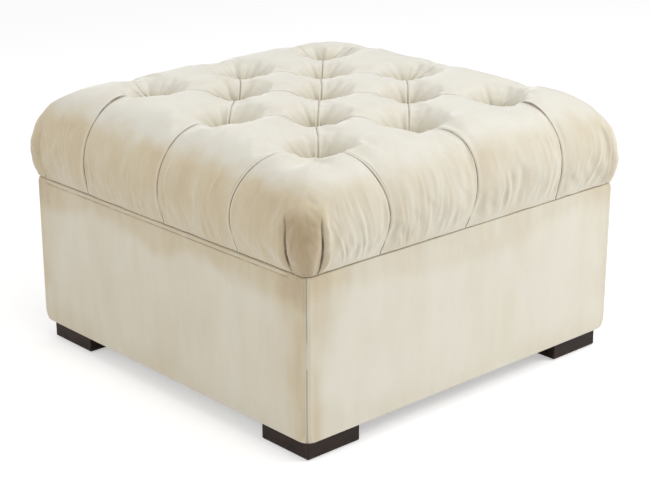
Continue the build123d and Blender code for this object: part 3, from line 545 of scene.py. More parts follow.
def solve_cloth(points, held, frames=20):
    """Points of a held grid of cloth after these frames in the solver, pressed outwards and cut too large."""
    piece = make_piece("trial_cloth", points.reshape(-1, 3), [grid_quads(*held.shape)])
    piece.vertex_groups.new(name="held").add(np.flatnonzero(held).tolist(), 1.0, "REPLACE")
    solver = piece.modifiers.new("cloth", "CLOTH")
    for key, value in solver_settings.items():
        setattr(solver.settings, key, value)
    solver.settings.effector_weights.gravity = 0
    solver.collision_settings.use_collision = False
    solver.point_cache.frame_start, solver.point_cache.frame_end = 1, frames
    for moment in range(1, frames + 1):
        bpy.context.scene.frame_set(moment)
    solved = piece.evaluated_get(bpy.context.evaluated_depsgraph_get()).data
    places = np.empty(held.size * 3, np.float32)
    solved.vertices.foreach_get("co", places)
    mesh = piece.data
    bpy.data.objects.remove(piece)
    bpy.data.meshes.remove(mesh)
    bpy.context.scene.frame_set(1)
    return places.reshape(*held.shape, 3)


buckles = np.zeros_like(lift)
trial_a, trial_b = np.meshgrid(trial_lines, trial_lines, indexing="ij")
trial, trial_reach, trial_along, trial_quarter = plain_cushion(trial_a, trial_b)
trial_normals = surface_normals(trial)
trial_depth = broad_depth(trial_a, trial_b, trial_reach, trial[..., 2])[0]
trial = trial - trial_normals * (0.8 * trial_depth)[..., None]
half_pitch = tuft_pitch / 2
fold_a, fold_b = (
    abs((c + half_pitch) % tuft_pitch - half_pitch) for c in (trial_a - trial_b, trial_a + trial_b))
to_fold = np.where(trial_reach < tuft_pitch + 1e-6, np.minimum(fold_a, fold_b) * math.sqrt(0.5), 1)
trial_near = np.minimum(abs(trial_a), abs(trial_b))
trial_to_seam = np.minimum(trial_near, abs(trial_near - tuft_pitch))
to_line = np.where(trial_reach > tuft_pitch - 1e-6, trial_to_seam, 1)
trial_beyond = abs(trial_quarter - abs(trial_along) - corner_places(trial_a, trial_b, trial[..., 2]))
to_corner_fold = np.where((trial_reach > tuft_pitch) & (trial[..., 2] < 0.43), trial_beyond, 1)
held = np.minimum.reduce([to_fold, to_line, to_corner_fold]) < 0.6 * trial_cell
held |= trial_reach > edge_reach - 1e-6
solved = solve_cloth(trial, held)
moved = ((solved - trial) * trial_normals).sum(axis=-1)
moved = moved - averaged(moved, 24)
moved = buckle_limit * np.tanh(moved / buckle_limit) * (1 - held) * ease(0.332, 0.356, trial[..., 2])
spread = np.stack([np.interp(lines, trial_lines, row) for row in np.eye(len(trial_lines))], axis=1)
buckles = averaged(spread @ moved @ spread.T, 3)
print("the solver moved the cloth by up to", round(float(abs(solved - trial).max()) * 1000, 1), "mm")
print("buckles, in mm:", [round(float(value) * 1000, 2) for value in (buckles.min(), buckles.max())])
formed = plain + normals * (lift + buckles * shown)[..., None]
along_edge = np.where(abs(cloth_a) >= abs(cloth_b), cloth_b, cloth_a)
wobble = wave_noise(along_edge / 0.045, np.sign(cloth_a + 0.3 * cloth_b) + 0 * reach, 27)
formed[..., 2] += 0.0007 * wobble * bell(reach - edge_reach - 0.002, 0.009) * ease(0.0, 0.05, reach - near)

# %% Painted shade on the cushion's sides and corners, with the pile's own deeper tone between the corner pleats
# Painted shade: the sides below the roll are darker than the top, the left side more than the right by the
# way each faces, and the corners darker still, the one nearest the camera most. Between the corner pleats the
# pressed pile adds its own deeper tone.
facing = 0.72 - 0.28 * normals[..., 0] + 0.27 * normals[..., 1]
coarse_mottle = 0.004 * wave_noise(cloth_a / 0.030, cloth_b / 0.030, 61)
mottle = coarse_mottle + 0.003 * wave_noise(cloth_a / 0.011, cloth_b / 0.011, 62)
side_tone = ease(0.481, 0.441, height + mottle) * (1 - 0.16 * ease(0.400, 0.345, height)) * facing
corner_tone = bell(from_corner, 0.055) * ease(0.474, 0.425, height + mottle)
pile_and_shade_weight = np.where((cloth_a < 0) & (cloth_b < 0), 1.0, np.where((cloth_a > 0) & (cloth_b > 0), 0.4, 0.1))
in_panel = ease(0.001, -0.004, beyond) * (reach > tuft_pitch)
panel_tone = in_panel * ease(pleat_top + 0.008, pleat_top - 0.022, height)
tone = 0.50 * side_tone + (0.20 * corner_tone + 0.34 * panel_tone) * pile_and_shade_weight

# %% Cushion mesh
count = len(lines)
quads = grid_quads(count, count)
cell_a, cell_b = (np.floor(c[:-1, :-1] / (tuft_pitch / 2) + 1e-6) for c in (cloth_a, cloth_b))
rising = ((cell_a + cell_b).astype(int).ravel() % 2) == 0
triangles = np.concatenate([
    quads[rising][:, [0, 1, 2]], quads[rising][:, [0, 2, 3]],
    quads[~rising][:, [0, 1, 3]], quads[~rising][:, [1, 2, 3]],
])
middle_point = np.array([[0, 0, lid_low[2] + 0.006]])
cap = fan(rim_of(count), count * count)
cushion_uv = np.stack([cloth_a, cloth_b], axis=-1).reshape(-1, 2)
corner_fade = ease(pleat_top, pleat_top - corner_rise, height) * (reach > tuft_pitch)
cushion = make_piece(
    "lid_cushion",
    np.concatenate([formed.reshape(-1, 3), middle_point]),
    [triangles, cap],
    uv=np.concatenate([cushion_uv, [[0, 0]]]),
    values={
        "depth": np.append((depth * shown).ravel(), 0),
        "tone": np.append(tone.ravel(), 0),
        "corner_fold": np.append(np.clip(beyond, -0.03, 0.03).ravel(), 0.03),
        "corner_fade": np.append(corner_fade.ravel(), 0),
    },
)
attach(cushion, "lid")
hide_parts("lid_cover")

# %% [markdown]
# ## Nodes in a few words
# Every finish is procedural: it is worked out from the place on the surface, with no picture. A `Value`
# stands for a node's output, and arithmetic on it adds the nodes, so a formula in a finish reads like one.
# `Nodes` adds every other kind, and its square brackets set the sockets of the shader itself.

# %% Material helpers


def math_step(operation, swapped=False):
    """A method that adds one Math node with the value and whatever else it is given."""

    def method(self, *others):
        values = (*others, self) if swapped else (self, *others)
        return self.nodes.add("Math", dict(enumerate(values)), operation=operation)

    return method


class Value:
    """A node's output that can be calculated with."""

    def __init__(self, nodes, socket):
        self.nodes, self.socket = nodes, socket

    def other(self, out):
        """Another output of the same node."""
        return Value(self.nodes, self.socket.node.outputs[out])

    __add__, __sub__, __mul__ = math_step("ADD"), math_step("SUBTRACT"), math_step("MULTIPLY")
    __rsub__ = math_step("SUBTRACT", swapped=True)
    __abs__, __gt__ = math_step("ABSOLUTE"), math_step("GREATER_THAN")
    at_least, at_most = math_step("MAXIMUM"), math_step("MINIMUM")
    pingpong, sine = math_step("PINGPONG"), math_step("SINE")


class Nodes:
    """The nodes of a material or a world. Each method adds one node and returns its output."""

    def __init__(self, owner, shader="Principled BSDF", **settings):
        owner.use_nodes = True
        self.owner, self.tree = owner, owner.node_tree
        self.shader = self.tree.nodes[shader]
        for socket, value in settings.items():
            self[socket.replace("_", " ")] = value

    def __setitem__(self, socket, value):
        self.plug(self.shader, socket, value)

    def plug(self, node, socket, value):
        """Set a socket to a number or colour, or link a value to it."""
        if isinstance(value, Value):
            self.tree.links.new(value.socket, node.inputs[socket])
        else:
            node.inputs[socket].default_value = value

    def add(self, kind, values=(), out=0, **properties):
        node = self.tree.nodes.new("ShaderNode" + kind)
        for key, value in properties.items():
            setattr(node, key, value)
        for socket, value in dict(values).items():
            self.plug(node, socket, value)
        return Value(self, node.outputs[out])

    def place(self):
        """Place in the object's own coordinates."""
        return self.add("TexCoord", out="Object")

    def stored(self, name):
        """Number that was stored with the mesh under this name."""
        return self.add("Attribute", attribute_name=name, out="Fac")

    def span(self, value, low, high, to_low=0.0, to_high=1.0, smooth=False):
        """A value carried from one range to another, and kept inside it."""
        kind = "SMOOTHSTEP" if smooth else "LINEAR"
        settings = {"Value": value, "From Min": low, "From Max": high, "To Min": to_low, "To Max": to_high}
        return self.add("MapRange", settings, interpolation_type=kind)

    def fade(self, value, low, high, top=1):
        """The top number where the value is low, easing out to nothing where it is high."""
        return self.span(value, low, high, top, 0, smooth=True)

    def choose(self, test, first, second):
        """The first number where the test is nought and the second where it is one."""
        return self.add("Mix", {0: test, 2: first, 3: second})

    def ramp(self, value, *stops):
        """Colours between stops of (place, colour), by a value."""
        output = self.add("ValToRGB", {0: value})
        elements = output.socket.node.color_ramp.elements
        while len(elements) < len(stops):
            elements.new(0.5)
        for element, (place, colour) in zip(elements, stops):
            element.position = place
            element.color = (*colour, 1)
        return output

    def mix(self, factor, first, second):
        """Mix of two colours, each three numbers or another node's output."""
        first, second = (c if isinstance(c, Value) else (*c, 1) for c in (first, second))
        return self.add("Mix", {0: factor, 6: first, 7: second}, out=2, data_type="RGBA")

    def noise(self, where, scale, detail=2.0, rough=0.5):
        """Noise of this scale at a place, usually a texture coordinate."""
        return self.add("TexNoise", {"Vector": where, "Scale": scale, "Detail": detail, "Roughness": rough})

    def stretched(self, where, scale):
        """The place with each direction scaled by its own number, so a pattern comes out long or short."""
        return self.add("Mapping", {"Vector": where, "Scale": scale})

    def bump(self, height, strength, distance, below=None):
        """A bump from a height, on top of another bump if there is one."""
        values = {"Height": height, "Strength": strength, "Distance": distance}
        return self.add("Bump", values if below is None else {**values, "Normal": below})


def finish(name, **settings):
    """Nodes of a new material whose Principled shader has these socket values."""
    return Nodes(bpy.data.materials.new(name), **settings)


def tinted(colour, factor):
    """A colour made lighter or darker by a factor."""
    return [min(c * factor, 1) for c in colour]


# %% [markdown]
# ## Velvet
# Velvet is a dense pile of short upright fibres. Seen along the surface it looks pale, because the fibre
# ends scatter the light, and seen straight on it looks deeper. Sheen gives that. Wherever a hand has passed,
# the pile leans another way and shows as a soft patch, so the colour and the bumps vary slowly. The deeper
# tone stored with the mesh as "tone" is mostly painted shade: the sides, the left faces and the corners
# facing the camera are darkened more than the sheen alone does, and where the pile is pressed it adds its own
# tone. The folds get painted shade by their depth and painted highlights on their lips, and the thin lines
# where two folds meet are painted shade, worked out from the cloth's own coordinates, so they stay sharp
# however fine the mesh is.

# %% Velvet colours
cream = (0.784, 0.746, 0.640)
# Painted light: the cushion gets a slightly bluer copy of the box's cream, standing in for the light on its
# top.
cushion_lit_cream = (0.777, 0.753, 0.666)
# Painted shade: the side and deep shade colours, reached by the stored tone, darken the shaded sides and
# corners, with some pressed pile. The deep shade also fills the deepest folds.
side_shade_cream = (0.648, 0.553, 0.386)
deep_shade_cream = (0.46, 0.350, 0.215)
ridge_highlight_cream = (0.84, 0.81, 0.71)
# Painted shade for the tuft funnels and folds.
fold_shade_tone = (0.54, 0.485, 0.365)
line_shade_tone = (0.17, 0.115, 0.06)

# %% Velvet finish
beside_seam, beside_middle_seam, beside_pleat, beside_any_fold = 0.0052, 0.0056, 0.0074, 0.0040
pile_scale = 1100.0


def fold_lines(nodes):
    """How much shows of a fold's thin line of painted shade, of fainter painted shade lines beside seams and
    pleats, and of the painted highlight on the pale ridges.

    Pleats run where the sum or the difference of the two coordinates is a whole number of pitches, inside the
    square of tufts. Outside it the seams run where the smaller coordinate is nought or one pitch.
    """
    u = nodes.add("SeparateXYZ", {0: nodes.add("TexCoord", out="UV")})
    v = u.other("Y")
    size_u, size_v = abs(u), abs(v)
    far, near = size_u.at_least(size_v), size_u.at_most(size_v)
    rising, falling = (u - v).pingpong(tuft_pitch / 2), (u + v).pingpong(tuft_pitch / 2)
    along_view = nodes.fade(rising, 0.0006, 0.0022, 0.7)
    across_view = nodes.fade(abs(falling - 0.0010), 0.0006, 0.0024, 0.8)
    pleat = rising.at_most(falling) * math.sqrt(0.5)
    seam = near.at_most(abs(near - tuft_pitch))
    outside = far > tuft_pitch
    distance = nodes.choose(outside, pleat, seam)
    line = nodes.choose(outside, along_view.at_least(across_view), nodes.fade(seam, 0.0005, 0.0017))
    behind = u.at_least(v) > tuft_pitch + 0.01
    line = line * (1.0 - behind * nodes.span(far, 0.31, 0.38, 0.9, 0.0))
    signed = nodes.choose(size_u > size_v, u, v)
    inner = abs(tuft_pitch - near - beside_seam).at_most(abs(signed + beside_middle_seam))
    second = nodes.fade(inner, 0.0002, 0.0014) * nodes.span(far, 0.38, 0.44, 1.0, 0.0)
    double = nodes.fade(abs(rising - beside_pleat), 0.0004, 0.0020, 0.8) * (1.0 - outside)
    ridge_highlight = nodes.fade(abs(distance - beside_any_fold), 0.0004, 0.0024)
    return line, second * outside, double, ridge_highlight


def velvet(name, body_colour, has_folds):
    """Velvet that goes from the body's colour to the side shade and the deep shade by the stored tone, which
    is mostly painted shade.
    """
    nodes = finish(name, Roughness=0.85, Sheen_Weight=1.0, Sheen_Roughness=0.45)
    nodes["Sheen Tint"] = (1.0, 0.98, 0.93, 1)
    nodes["Specular IOR Level"] = 0.12
    place = nodes.place()
    broad = nodes.noise(place, 7.0)
    streaks = nodes.noise(nodes.stretched(place, (30.0, 30.0, 8.0)), 1.0, 3.0, 0.55)
    patches = nodes.span(broad, 0.35, 0.7, -0.05, 0.05) + nodes.span(streaks, 0.3, 0.7, -0.05, 0.05)
    # The stored tone, mostly painted shade, carries the colour towards the side shade and the deep shade.
    grow = nodes.stored("tone") * nodes.span(streaks, 0.3, 0.7, 0.90, 1.10)
    deep_share = nodes.add("Math", {0: grow + patches, 1: 0.04}, operation="ADD", use_clamp=True)
    colour = nodes.ramp(deep_share, (0.0, body_colour), (0.5, side_shade_cream), (1.0, deep_shade_cream))
    if has_folds:
        # Random noise that varies how strongly the painted shade lines show.
        line_strength_noise = nodes.noise(place, 40.0)
        deep = nodes.stored("depth")
        # Painted shade in the tuft funnels and folds, deeper where the stored depth is greater.
        colour = nodes.mix(nodes.span(deep, 0.005, 0.023, 0.0, 0.92), colour, fold_shade_tone)
        colour = nodes.mix(nodes.span(deep, 0.028, 0.044, 0.0, 0.75), colour, deep_shade_cream)
        line, second, double, ridge_highlight = fold_lines(nodes)
        # Painted highlight on the pale lips beside each fold.
        colour = nodes.mix(ridge_highlight * 0.35, colour, ridge_highlight_cream)
        corner = abs(nodes.stored("corner_fold"))
        corner_line = nodes.fade(corner, 0.0006, 0.0021) * nodes.stored("corner_fade")
        strength = nodes.span(line_strength_noise, 0.35, 0.62, 0.55, 1.0)
        line = line.at_least(corner_line) * strength
        gate = nodes.span(nodes.noise(place, 9.0, 1.0), 0.38, 0.5, 0.0, 0.6)
        near_tuft = nodes.span(deep, 0.012, 0.022)
        second = second.at_least(double * near_tuft)
        line = line.at_least(second * gate)
    else:
        # On the box the dark lines are painted shade in the corner seams and under the rim strip.
        line = nodes.span(nodes.stored("slit"), 0.25, 1.0, 0.0, 0.8)
    # The thin lines are painted shade in the slits of folds, seams and corner pleats.
    nodes["Base Color"] = nodes.mix(line, colour, line_shade_tone)
    crush, pile = nodes.noise(place, 18.0, 3.0), nodes.noise(place, pile_scale, 2.0, 0.6)
    nodes["Normal"] = nodes.bump(pile, 0.22, 0.0005, nodes.bump(crush, 0.16, 0.010))
    return nodes.owner


cushion.data.materials.append(velvet("cushion velvet", cushion_lit_cream, True))
box_velvet = velvet("box velvet", cream, False)
print("velvets:", [material.name for material in bpy.data.materials if "velvet" in material.name])

# %% [markdown]
# ## The box's cover
# The velvet of the box is one band pulled round four padded walls, turned in over the rim at the top and
# hemmed under the walls. Its section is carried round a square with small round corners. A thin seam runs
# down each corner, and the padding lets the faces swell by a millimetre or so. Under the lid, where it is
# pulled over the rim, the cloth puckers a little. Its stored tone is painted shade on the left face, under
# the lid's overhang, where some rubbed pile adds to it, and beside the corners, and the cloth is a little
# darker towards the bottom. The corner seam and the line under the rim strip get painted shade in their
# slits.

# %% Box cover surface
box_low, box_high = box_of("base_cover")
strip_low, strip_high = box_of("rim_strip")
box_half = box_high[0]
box_corner = 0.005
velvet_thickness = 0.0012
face_rows = np.unique(np.round(np.concatenate([
    np.linspace(0.062, 0.295, 72), np.linspace(0.295, 0.3225, 26), np.linspace(0.0405, 0.062, 12)]), 6))[::-1]
rim_turn, hem_turn = np.linspace(0, math.pi / 2, 7), np.linspace(0, math.pi / 2, 6)
rim_radius, hem_radius = 0.0025, 0.003
rim_z, foot_z = box_high[2], box_low[2]
section = np.concatenate([
    [(0.022, rim_z - velvet_thickness), (0.022, rim_z), (0.013, rim_z)],
    np.column_stack([rim_radius * (1 - np.sin(rim_turn)), rim_z - rim_radius * (1 - np.cos(rim_turn))]),
    np.column_stack([np.zeros(len(face_rows)), face_rows]),
    np.column_stack([hem_radius * (1 - np.cos(hem_turn)), foot_z + hem_radius * (1 - np.sin(hem_turn))]),
    [(0.02, foot_z), (0.045, foot_z), (0.045, foot_z + velvet_thickness), (0.012, foot_z + velvet_thickness)],
    [(velvet_thickness, foot_z + 0.006), (velvet_thickness, 0.18), (velvet_thickness, rim_z - 0.004)],
    [(0.005, rim_z - velvet_thickness)],
])
near_corner = np.array([0, 0.0006, 0.0013, 0.0022, 0.0035, 0.0055, 0.0085, 0.0125])
steps = np.concatenate([near_corner, np.linspace(0.0165, box_half - box_corner, 116)])
straight = np.concatenate([-(box_half - box_corner) + steps, (box_half - box_corner - steps[-2::-1])])
turns = np.linspace(0, math.pi / 2, 9)[1:-1]


def corner_radius(height):
    """Radius of the box's corners: tight, but wider at the foot and the rim, where the cloth is gathered."""
    at_foot = 0.017 * np.clip((0.060 - height) / 0.023, 0, 1) ** 2
    return box_corner + at_foot + 0.007 * np.clip((height - 0.314) / 0.0115, 0, 1) ** 2


def ring(inset, height):
    """Points round a square of rounded corners, this far inside the box's faces, and their outward normals.

    Each side is the straight stretch shrunk to fit, followed by its corner's arc about the arc's middle.
    """
    radius = np.maximum(corner_radius(height) - inset, 0.0004)
    centre = box_half - inset - radius
    sides = []
    for c, s in ((1, 0), (0, 1), (-1, 0), (0, -1)):
        run = straight / (box_half - box_corner) * centre
        x = np.concatenate([np.full(len(run), centre + radius), centre + radius * np.cos(turns)])
        y = np.concatenate([run, centre + radius * np.sin(turns)])
        out_x = np.concatenate([np.ones(len(run)), np.cos(turns)])
        out_y = np.concatenate([np.zeros(len(run)), np.sin(turns)])
        turned = [c * x - s * y, s * x + c * y, c * out_x - s * out_y, s * out_x + c * out_y]
        sides.append(np.stack(turned, axis=-1))
    return np.concatenate(sides)


rings = np.stack([ring(inset, row_height) for inset, row_height in section])
place_x, place_y, out_x, out_y = (rings[..., k] for k in range(4))
place_z = np.broadcast_to(section[:, 1][:, None], place_x.shape)
to_square_corner = np.hypot(box_half - abs(place_x), box_half - abs(place_y))
to_corner = to_square_corner - corner_radius(place_z) * (math.sqrt(2) - 1)
outside = (section[:, 0][:, None] < 0.0002) & (place_z > 0.04)
from_edges = np.minimum(place_z - box_low[2], box_high[2] - place_z)
side_place = np.where(abs(out_x) > abs(out_y), place_y + 2 * np.sign(out_x), place_x + 5 * np.sign(out_y))
swelling = 0.0022 * ease(0, 0.06, from_edges) * ease(0, 0.08, to_corner)
ripples = 0.0009 * wave_noise(side_place / 0.09, place_z / 0.13, 31)
ripples = ripples + 0.0002 * wave_noise(side_place / 0.03, place_z / 0.09, 32)
puckers = 0.0007 * wave_noise(side_place / 0.016, place_z / 0.06, 33) * ease(0.265, 0.312, place_z)
puckers += 0.0004 * wave_noise(side_place / 0.022, place_z / 0.04, 34) * ease(0.075, 0.045, place_z)
corner_slit = np.exp(-((to_corner / 0.0011) ** 2))
beside_corner = 0.0008 * bell(to_corner - 0.006, 0.003)
on_strip_side = (out_x < -0.9) * ease(strip_low[1] - 0.004, strip_low[1] + 0.006, place_y) * ease(
    strip_high[1] + 0.004, strip_high[1] - 0.006, place_y)
strip_slit = bell(place_z - (strip_low[2] - 0.0008), 0.0011) * on_strip_side
push = swelling + (ripples + puckers) * ease(0, 0.03, to_corner) + beside_corner
push = (push - 0.0016 * corner_slit - 0.0012 * strip_slit) * outside
box_points = np.stack([place_x + out_x * push, place_y + out_y * push, place_z], axis=-1)
rows, columns = place_x.shape
along_ring = np.concatenate([[0], np.cumsum(np.linalg.norm(np.diff(rings[12, :, :2], axis=0), axis=1))])
box_uv = np.stack([np.broadcast_to(along_ring, (rows, columns)), place_z], axis=-1)
# Painted shade in the corner seam's slit and painted shadow under the rim strip, drawn as dark lines by the
# velvet.
box_slit_shade = np.maximum(corner_slit * 0.7, strip_slit) * outside
ragged = 0.020 * wave_noise(side_place / 0.10, place_z / 0.07, 41)
ragged = ragged + 0.006 * wave_noise(side_place / 0.03, place_z / 0.03, 43)
under_lid_shade = ease(0.262, 0.300, place_z + ragged)
low_patches = 0.6 + 0.4 * wave_noise(side_place / 0.12, place_z / 0.16, 42)
low_band = ease(0.105, 0.045, place_z + ragged) * low_patches
beside = bell(to_corner + ragged, 0.030 + 0.045 * ease(0.20, 0.30, place_z))
beside = beside * ease(-0.9, -0.5, -abs(out_x) - abs(out_y) + 0.4)
beside = beside * np.where((place_x < 0) & (place_y < 0), 1.0, 0.45)
# Painted shade: the left face is darker, and so are the band under the lid's overhang, where some rubbed pile
# adds to it, and the strips beside the corners, most at the corner nearest the camera. The band near the foot
# is darker towards the bottom.
left_face = ease(-0.5, -0.9, out_x)
box_tone = 0.14 * left_face + (0.16 + 0.12 * left_face) * under_lid_shade + 0.12 * low_band
box_tone = box_tone + (0.38 + 0.02 * left_face) * beside

base_velvet = make_piece(
    "base_velvet",
    box_points.reshape(-1, 3),
    [grid_quads(rows, columns, wrap_rows=True, wrap_columns=True)],
    uv=box_uv.reshape(-1, 2),
    values={"slit": box_slit_shade.ravel(), "tone": np.clip(box_tone, 0, 1).ravel()},
)
base_velvet.data.materials.append(box_velvet)
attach(base_velvet, "base")
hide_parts("base_cover", "base_batting")

# %% [markdown]
# ## The rim strip
# Along the top of the left face a narrow strip of the same velvet covers the staples. It is a flattened
# tube: a half-round section carried along the edge, tapered and tucked in at both ends, and not quite
# straight, because it is glued on by hand.

# %% Rim strip
strip_runs = np.linspace(0, 1, 260)
strip_place = strip_low[1] + (strip_high[1] - strip_low[1]) * strip_runs
taper = np.sqrt(ease(0, 0.02, strip_runs) * ease(1, 0.98, strip_runs)) * 0.96 + 0.04
strip_turn = np.linspace(0, 2 * math.pi, 25)[:-1]
strip_height = (strip_high[2] - strip_low[2]) / 2 * 0.94
middle_z = (strip_high[2] + strip_low[2]) / 2 + 0.00025 * wave_noise(strip_place / 0.05, 0 * strip_place, 51)
thick = 0.0018 + 0.0003 * wave_noise(strip_place / 0.03, 0 * strip_place + 4, 52)
round_section = np.sign(np.cos(strip_turn)) * abs(np.cos(strip_turn)) ** 0.7
strip_x = -box_half + 0.0002 - thick[:, None] * taper[:, None] * round_section[None, :]
strip_z = middle_z[:, None] + strip_height * taper[:, None] * np.sin(strip_turn)[None, :]
strip_points = np.stack([strip_x, np.broadcast_to(strip_place[:, None], strip_x.shape), strip_z], axis=-1)
ends = np.array([
    [-box_half, strip_low[1] - 0.0004, middle_z[0]], [-box_half, strip_high[1] + 0.0004, middle_z[-1]]])
ring_size, last_ring = len(strip_turn), (len(strip_runs) - 1) * len(strip_turn)
around = np.arange(ring_size)
first_end, last_end = fan(around, strip_x.size), fan(last_ring + around, strip_x.size + 1)[:, [1, 0, 2]]
end_faces = np.concatenate([first_end, last_end])
# The strip's fixed tone is painted shade, as deep as the left face under the lid.
strip = make_piece(
    "rim_strip_velvet",
    np.concatenate([strip_points.reshape(-1, 3), ends]),
    [grid_quads(len(strip_runs), ring_size, wrap_columns=True), end_faces],
    values={"slit": np.zeros(strip_x.size + 2), "tone": np.full(strip_x.size + 2, 0.42)},
)
strip.data.materials.append(box_velvet)
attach(strip, "base")
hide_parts("rim_strip")

# %% [markdown]
# ## Foam inside the lid
# Under the cushion's cloth a block of foam gives the lid its height. Its edges are rounded with a knife,
# and a pit is bored wherever a tuft will pull the cloth down. It is the folded square again, with pits.

# %% Foam core
foam_low, foam_high = box_of("lid_foam")
foam_half, foam_top = foam_high[0], foam_high[2]
foam_edge, foam_corner, foam_square, pit_depth = 0.045, 0.060, 0.27, 0.034
foam_flat = np.linspace(0, foam_half - foam_edge, 10)
foam_round = np.clip((foam_flat - foam_square) / (foam_half - foam_edge - foam_square), 0, 1)
foam_roll = np.linspace(math.pi / 2, 0, 12)
foam_profile = profile_table(
    (foam_flat, foam_corner * foam_round, foam_top),
    (foam_half - foam_edge * (1 - np.cos(foam_roll)), foam_corner,
     foam_top - foam_edge * (1 - np.sin(foam_roll))),
    (np.array([foam_half, foam_half]), foam_corner, np.array([foam_top - foam_edge, foam_low[2]])),
)
foam_lines = np.linspace(-foam_profile[-1, 0], foam_profile[-1, 0], 175)
foam_a, foam_b, _, foam_points = folded_square(foam_lines, foam_profile, 0.25)
pit = np.minimum.reduce([np.hypot(foam_a - x, foam_b - y) for x, y in tufts + tuft_shifts])
foam_points[..., 2] -= pit_depth * ease(0.066, 0.022, pit)
foam = make_piece(
    "lid_foam_core",
    np.concatenate([foam_points.reshape(-1, 3), [[0, 0, foam_low[2]]]]),
    [grid_quads(len(foam_lines), len(foam_lines)), fan(rim_of(len(foam_lines)), foam_a.size)],
)
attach(foam, "lid")
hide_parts("lid_foam")

# %% [markdown]
# ## Lining of the compartment
# The storage box is lined with plain woven cloth: one cross-shaped cut, folded up along the floor and
# stapled under the rim. The same folded square gives it, turned into a tray, and a thin solid gives it
# its thickness. The floor isn't glued down, so it lies in faint waves.

# %% Lining sheet
lining_low, lining_high = box_of("storage_lining")
cloth_thickness = 0.0008
tray_half, tray_turn, tray_corner = lining_high[0] - 0.0002, 0.006, 0.004
tray_floor = lining_low[2] + 0.0002
tray_fold = np.linspace(0, math.pi / 2, 7)
tray_profile = profile_table(
    (np.linspace(0, tray_half - tray_turn, 9), 0.0, tray_floor),
    (tray_half - tray_turn + tray_turn * np.sin(tray_fold), tray_corner,
     tray_floor + tray_turn * (1 - np.cos(tray_fold))),
    (np.array([tray_half, tray_half]), tray_corner,
     np.array([lining_low[2] + tray_turn, lining_high[2] - 0.0004])),
)
fold_lines_at = tray_profile[-1, 0] - (lining_high[2] - lining_low[2]) + np.linspace(-0.004, 0.006, 7)
tray_lines = mirrored(np.unique(np.round(np.concatenate(
    [np.linspace(0, tray_profile[-1, 0], 78), fold_lines_at]), 6)))
tray_a, tray_b, tray_reach, tray_points = folded_square(tray_lines, tray_profile, 0.33)
tray_inward = surface_normals(tray_points)
floor_share = ease(tray_half - 0.005, tray_half - 0.06, tray_reach)
waves = 0.0009 * (1 + wave_noise(tray_a / 0.11, tray_b / 0.16, 61)) * floor_share
wall_share = ease(tray_half + 0.02, tray_half + 0.08, tray_reach)
waves = waves + 0.00018 * (1 + wave_noise(tray_a / 0.05, tray_b / 0.05, 62)) * wall_share
tray_points = tray_points + tray_inward * (waves + 0.0001)[..., None]
lining = make_piece(
    "compartment_lining",
    tray_points.reshape(-1, 3),
    [grid_quads(len(tray_lines), len(tray_lines))],
    uv=np.stack([tray_a, tray_b], axis=-1).reshape(-1, 2),
)


def thicken(piece, thickness):
    """Give an open sheet its thickness, on the side its normals point to."""
    solid = piece.modifiers.new("thickness", "SOLIDIFY")
    solid.thickness = thickness
    solid.offset = 1
    solid.use_rim = True


thicken(lining, cloth_thickness)
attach(lining, "base")
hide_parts("storage_lining")

# %% [markdown]
# ## Flat cloths under the lid and under the box
# A square of the lining cloth hides the tuft anchors under the lid board, and a black dust cloth closes
# the box from below. Both are cut square and stapled along their edges, which draws small scallops
# between the staples. The dust cloth sags a little in the middle.

# %% Flat cloths


def flat_cloth(name, node, sag):
    """Square sheet in a node's box, with a scalloped edge, hung by the sag times (1 - x^2)^2 (1 - y^2)^2."""
    (low, high), scallop, count = box_of(node), 0.0012, 121
    line = np.linspace(-1, 1, count)
    x, y = np.meshgrid(line, line, indexing="ij")
    half = high[0] - scallop
    edge = ease(0.93, 1.0, np.maximum(abs(x), abs(y)))
    pull = scallop * edge * np.cos(np.where(abs(x) > abs(y), y, x) * half / 0.045 * 2 * math.pi)
    z = low[2] - sag * (1 - x**2) ** 2 * (1 - y**2) ** 2 + 0.0002
    points = np.stack([x * (half + pull), y * (half + pull), z], axis=-1).reshape(-1, 3)
    piece = make_piece(name, points, [grid_quads(count, count)], uv=points[:, :2])
    thicken(piece, 0.0005)
    return piece


lid_cloth = flat_cloth("lid_underside_cloth", "lid_lining", 0.0)
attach(lid_cloth, "lid")
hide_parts("lid_lining")

dust_cloth = flat_cloth("dust_cloth", "dust_cover", 0.003)
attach(dust_cloth, "base")
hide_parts("dust_cover")

# %% [markdown]
# ## Felt pads
# Felt glides under the feet and small felt rests on the rim keep wood and metal from knocking. Each is
# punched from a sheet of felt, so it is a low disc whose edge has gone soft. One profile, a flattened
# oval, is turned about the middle of each pad.

# %% Felt discs


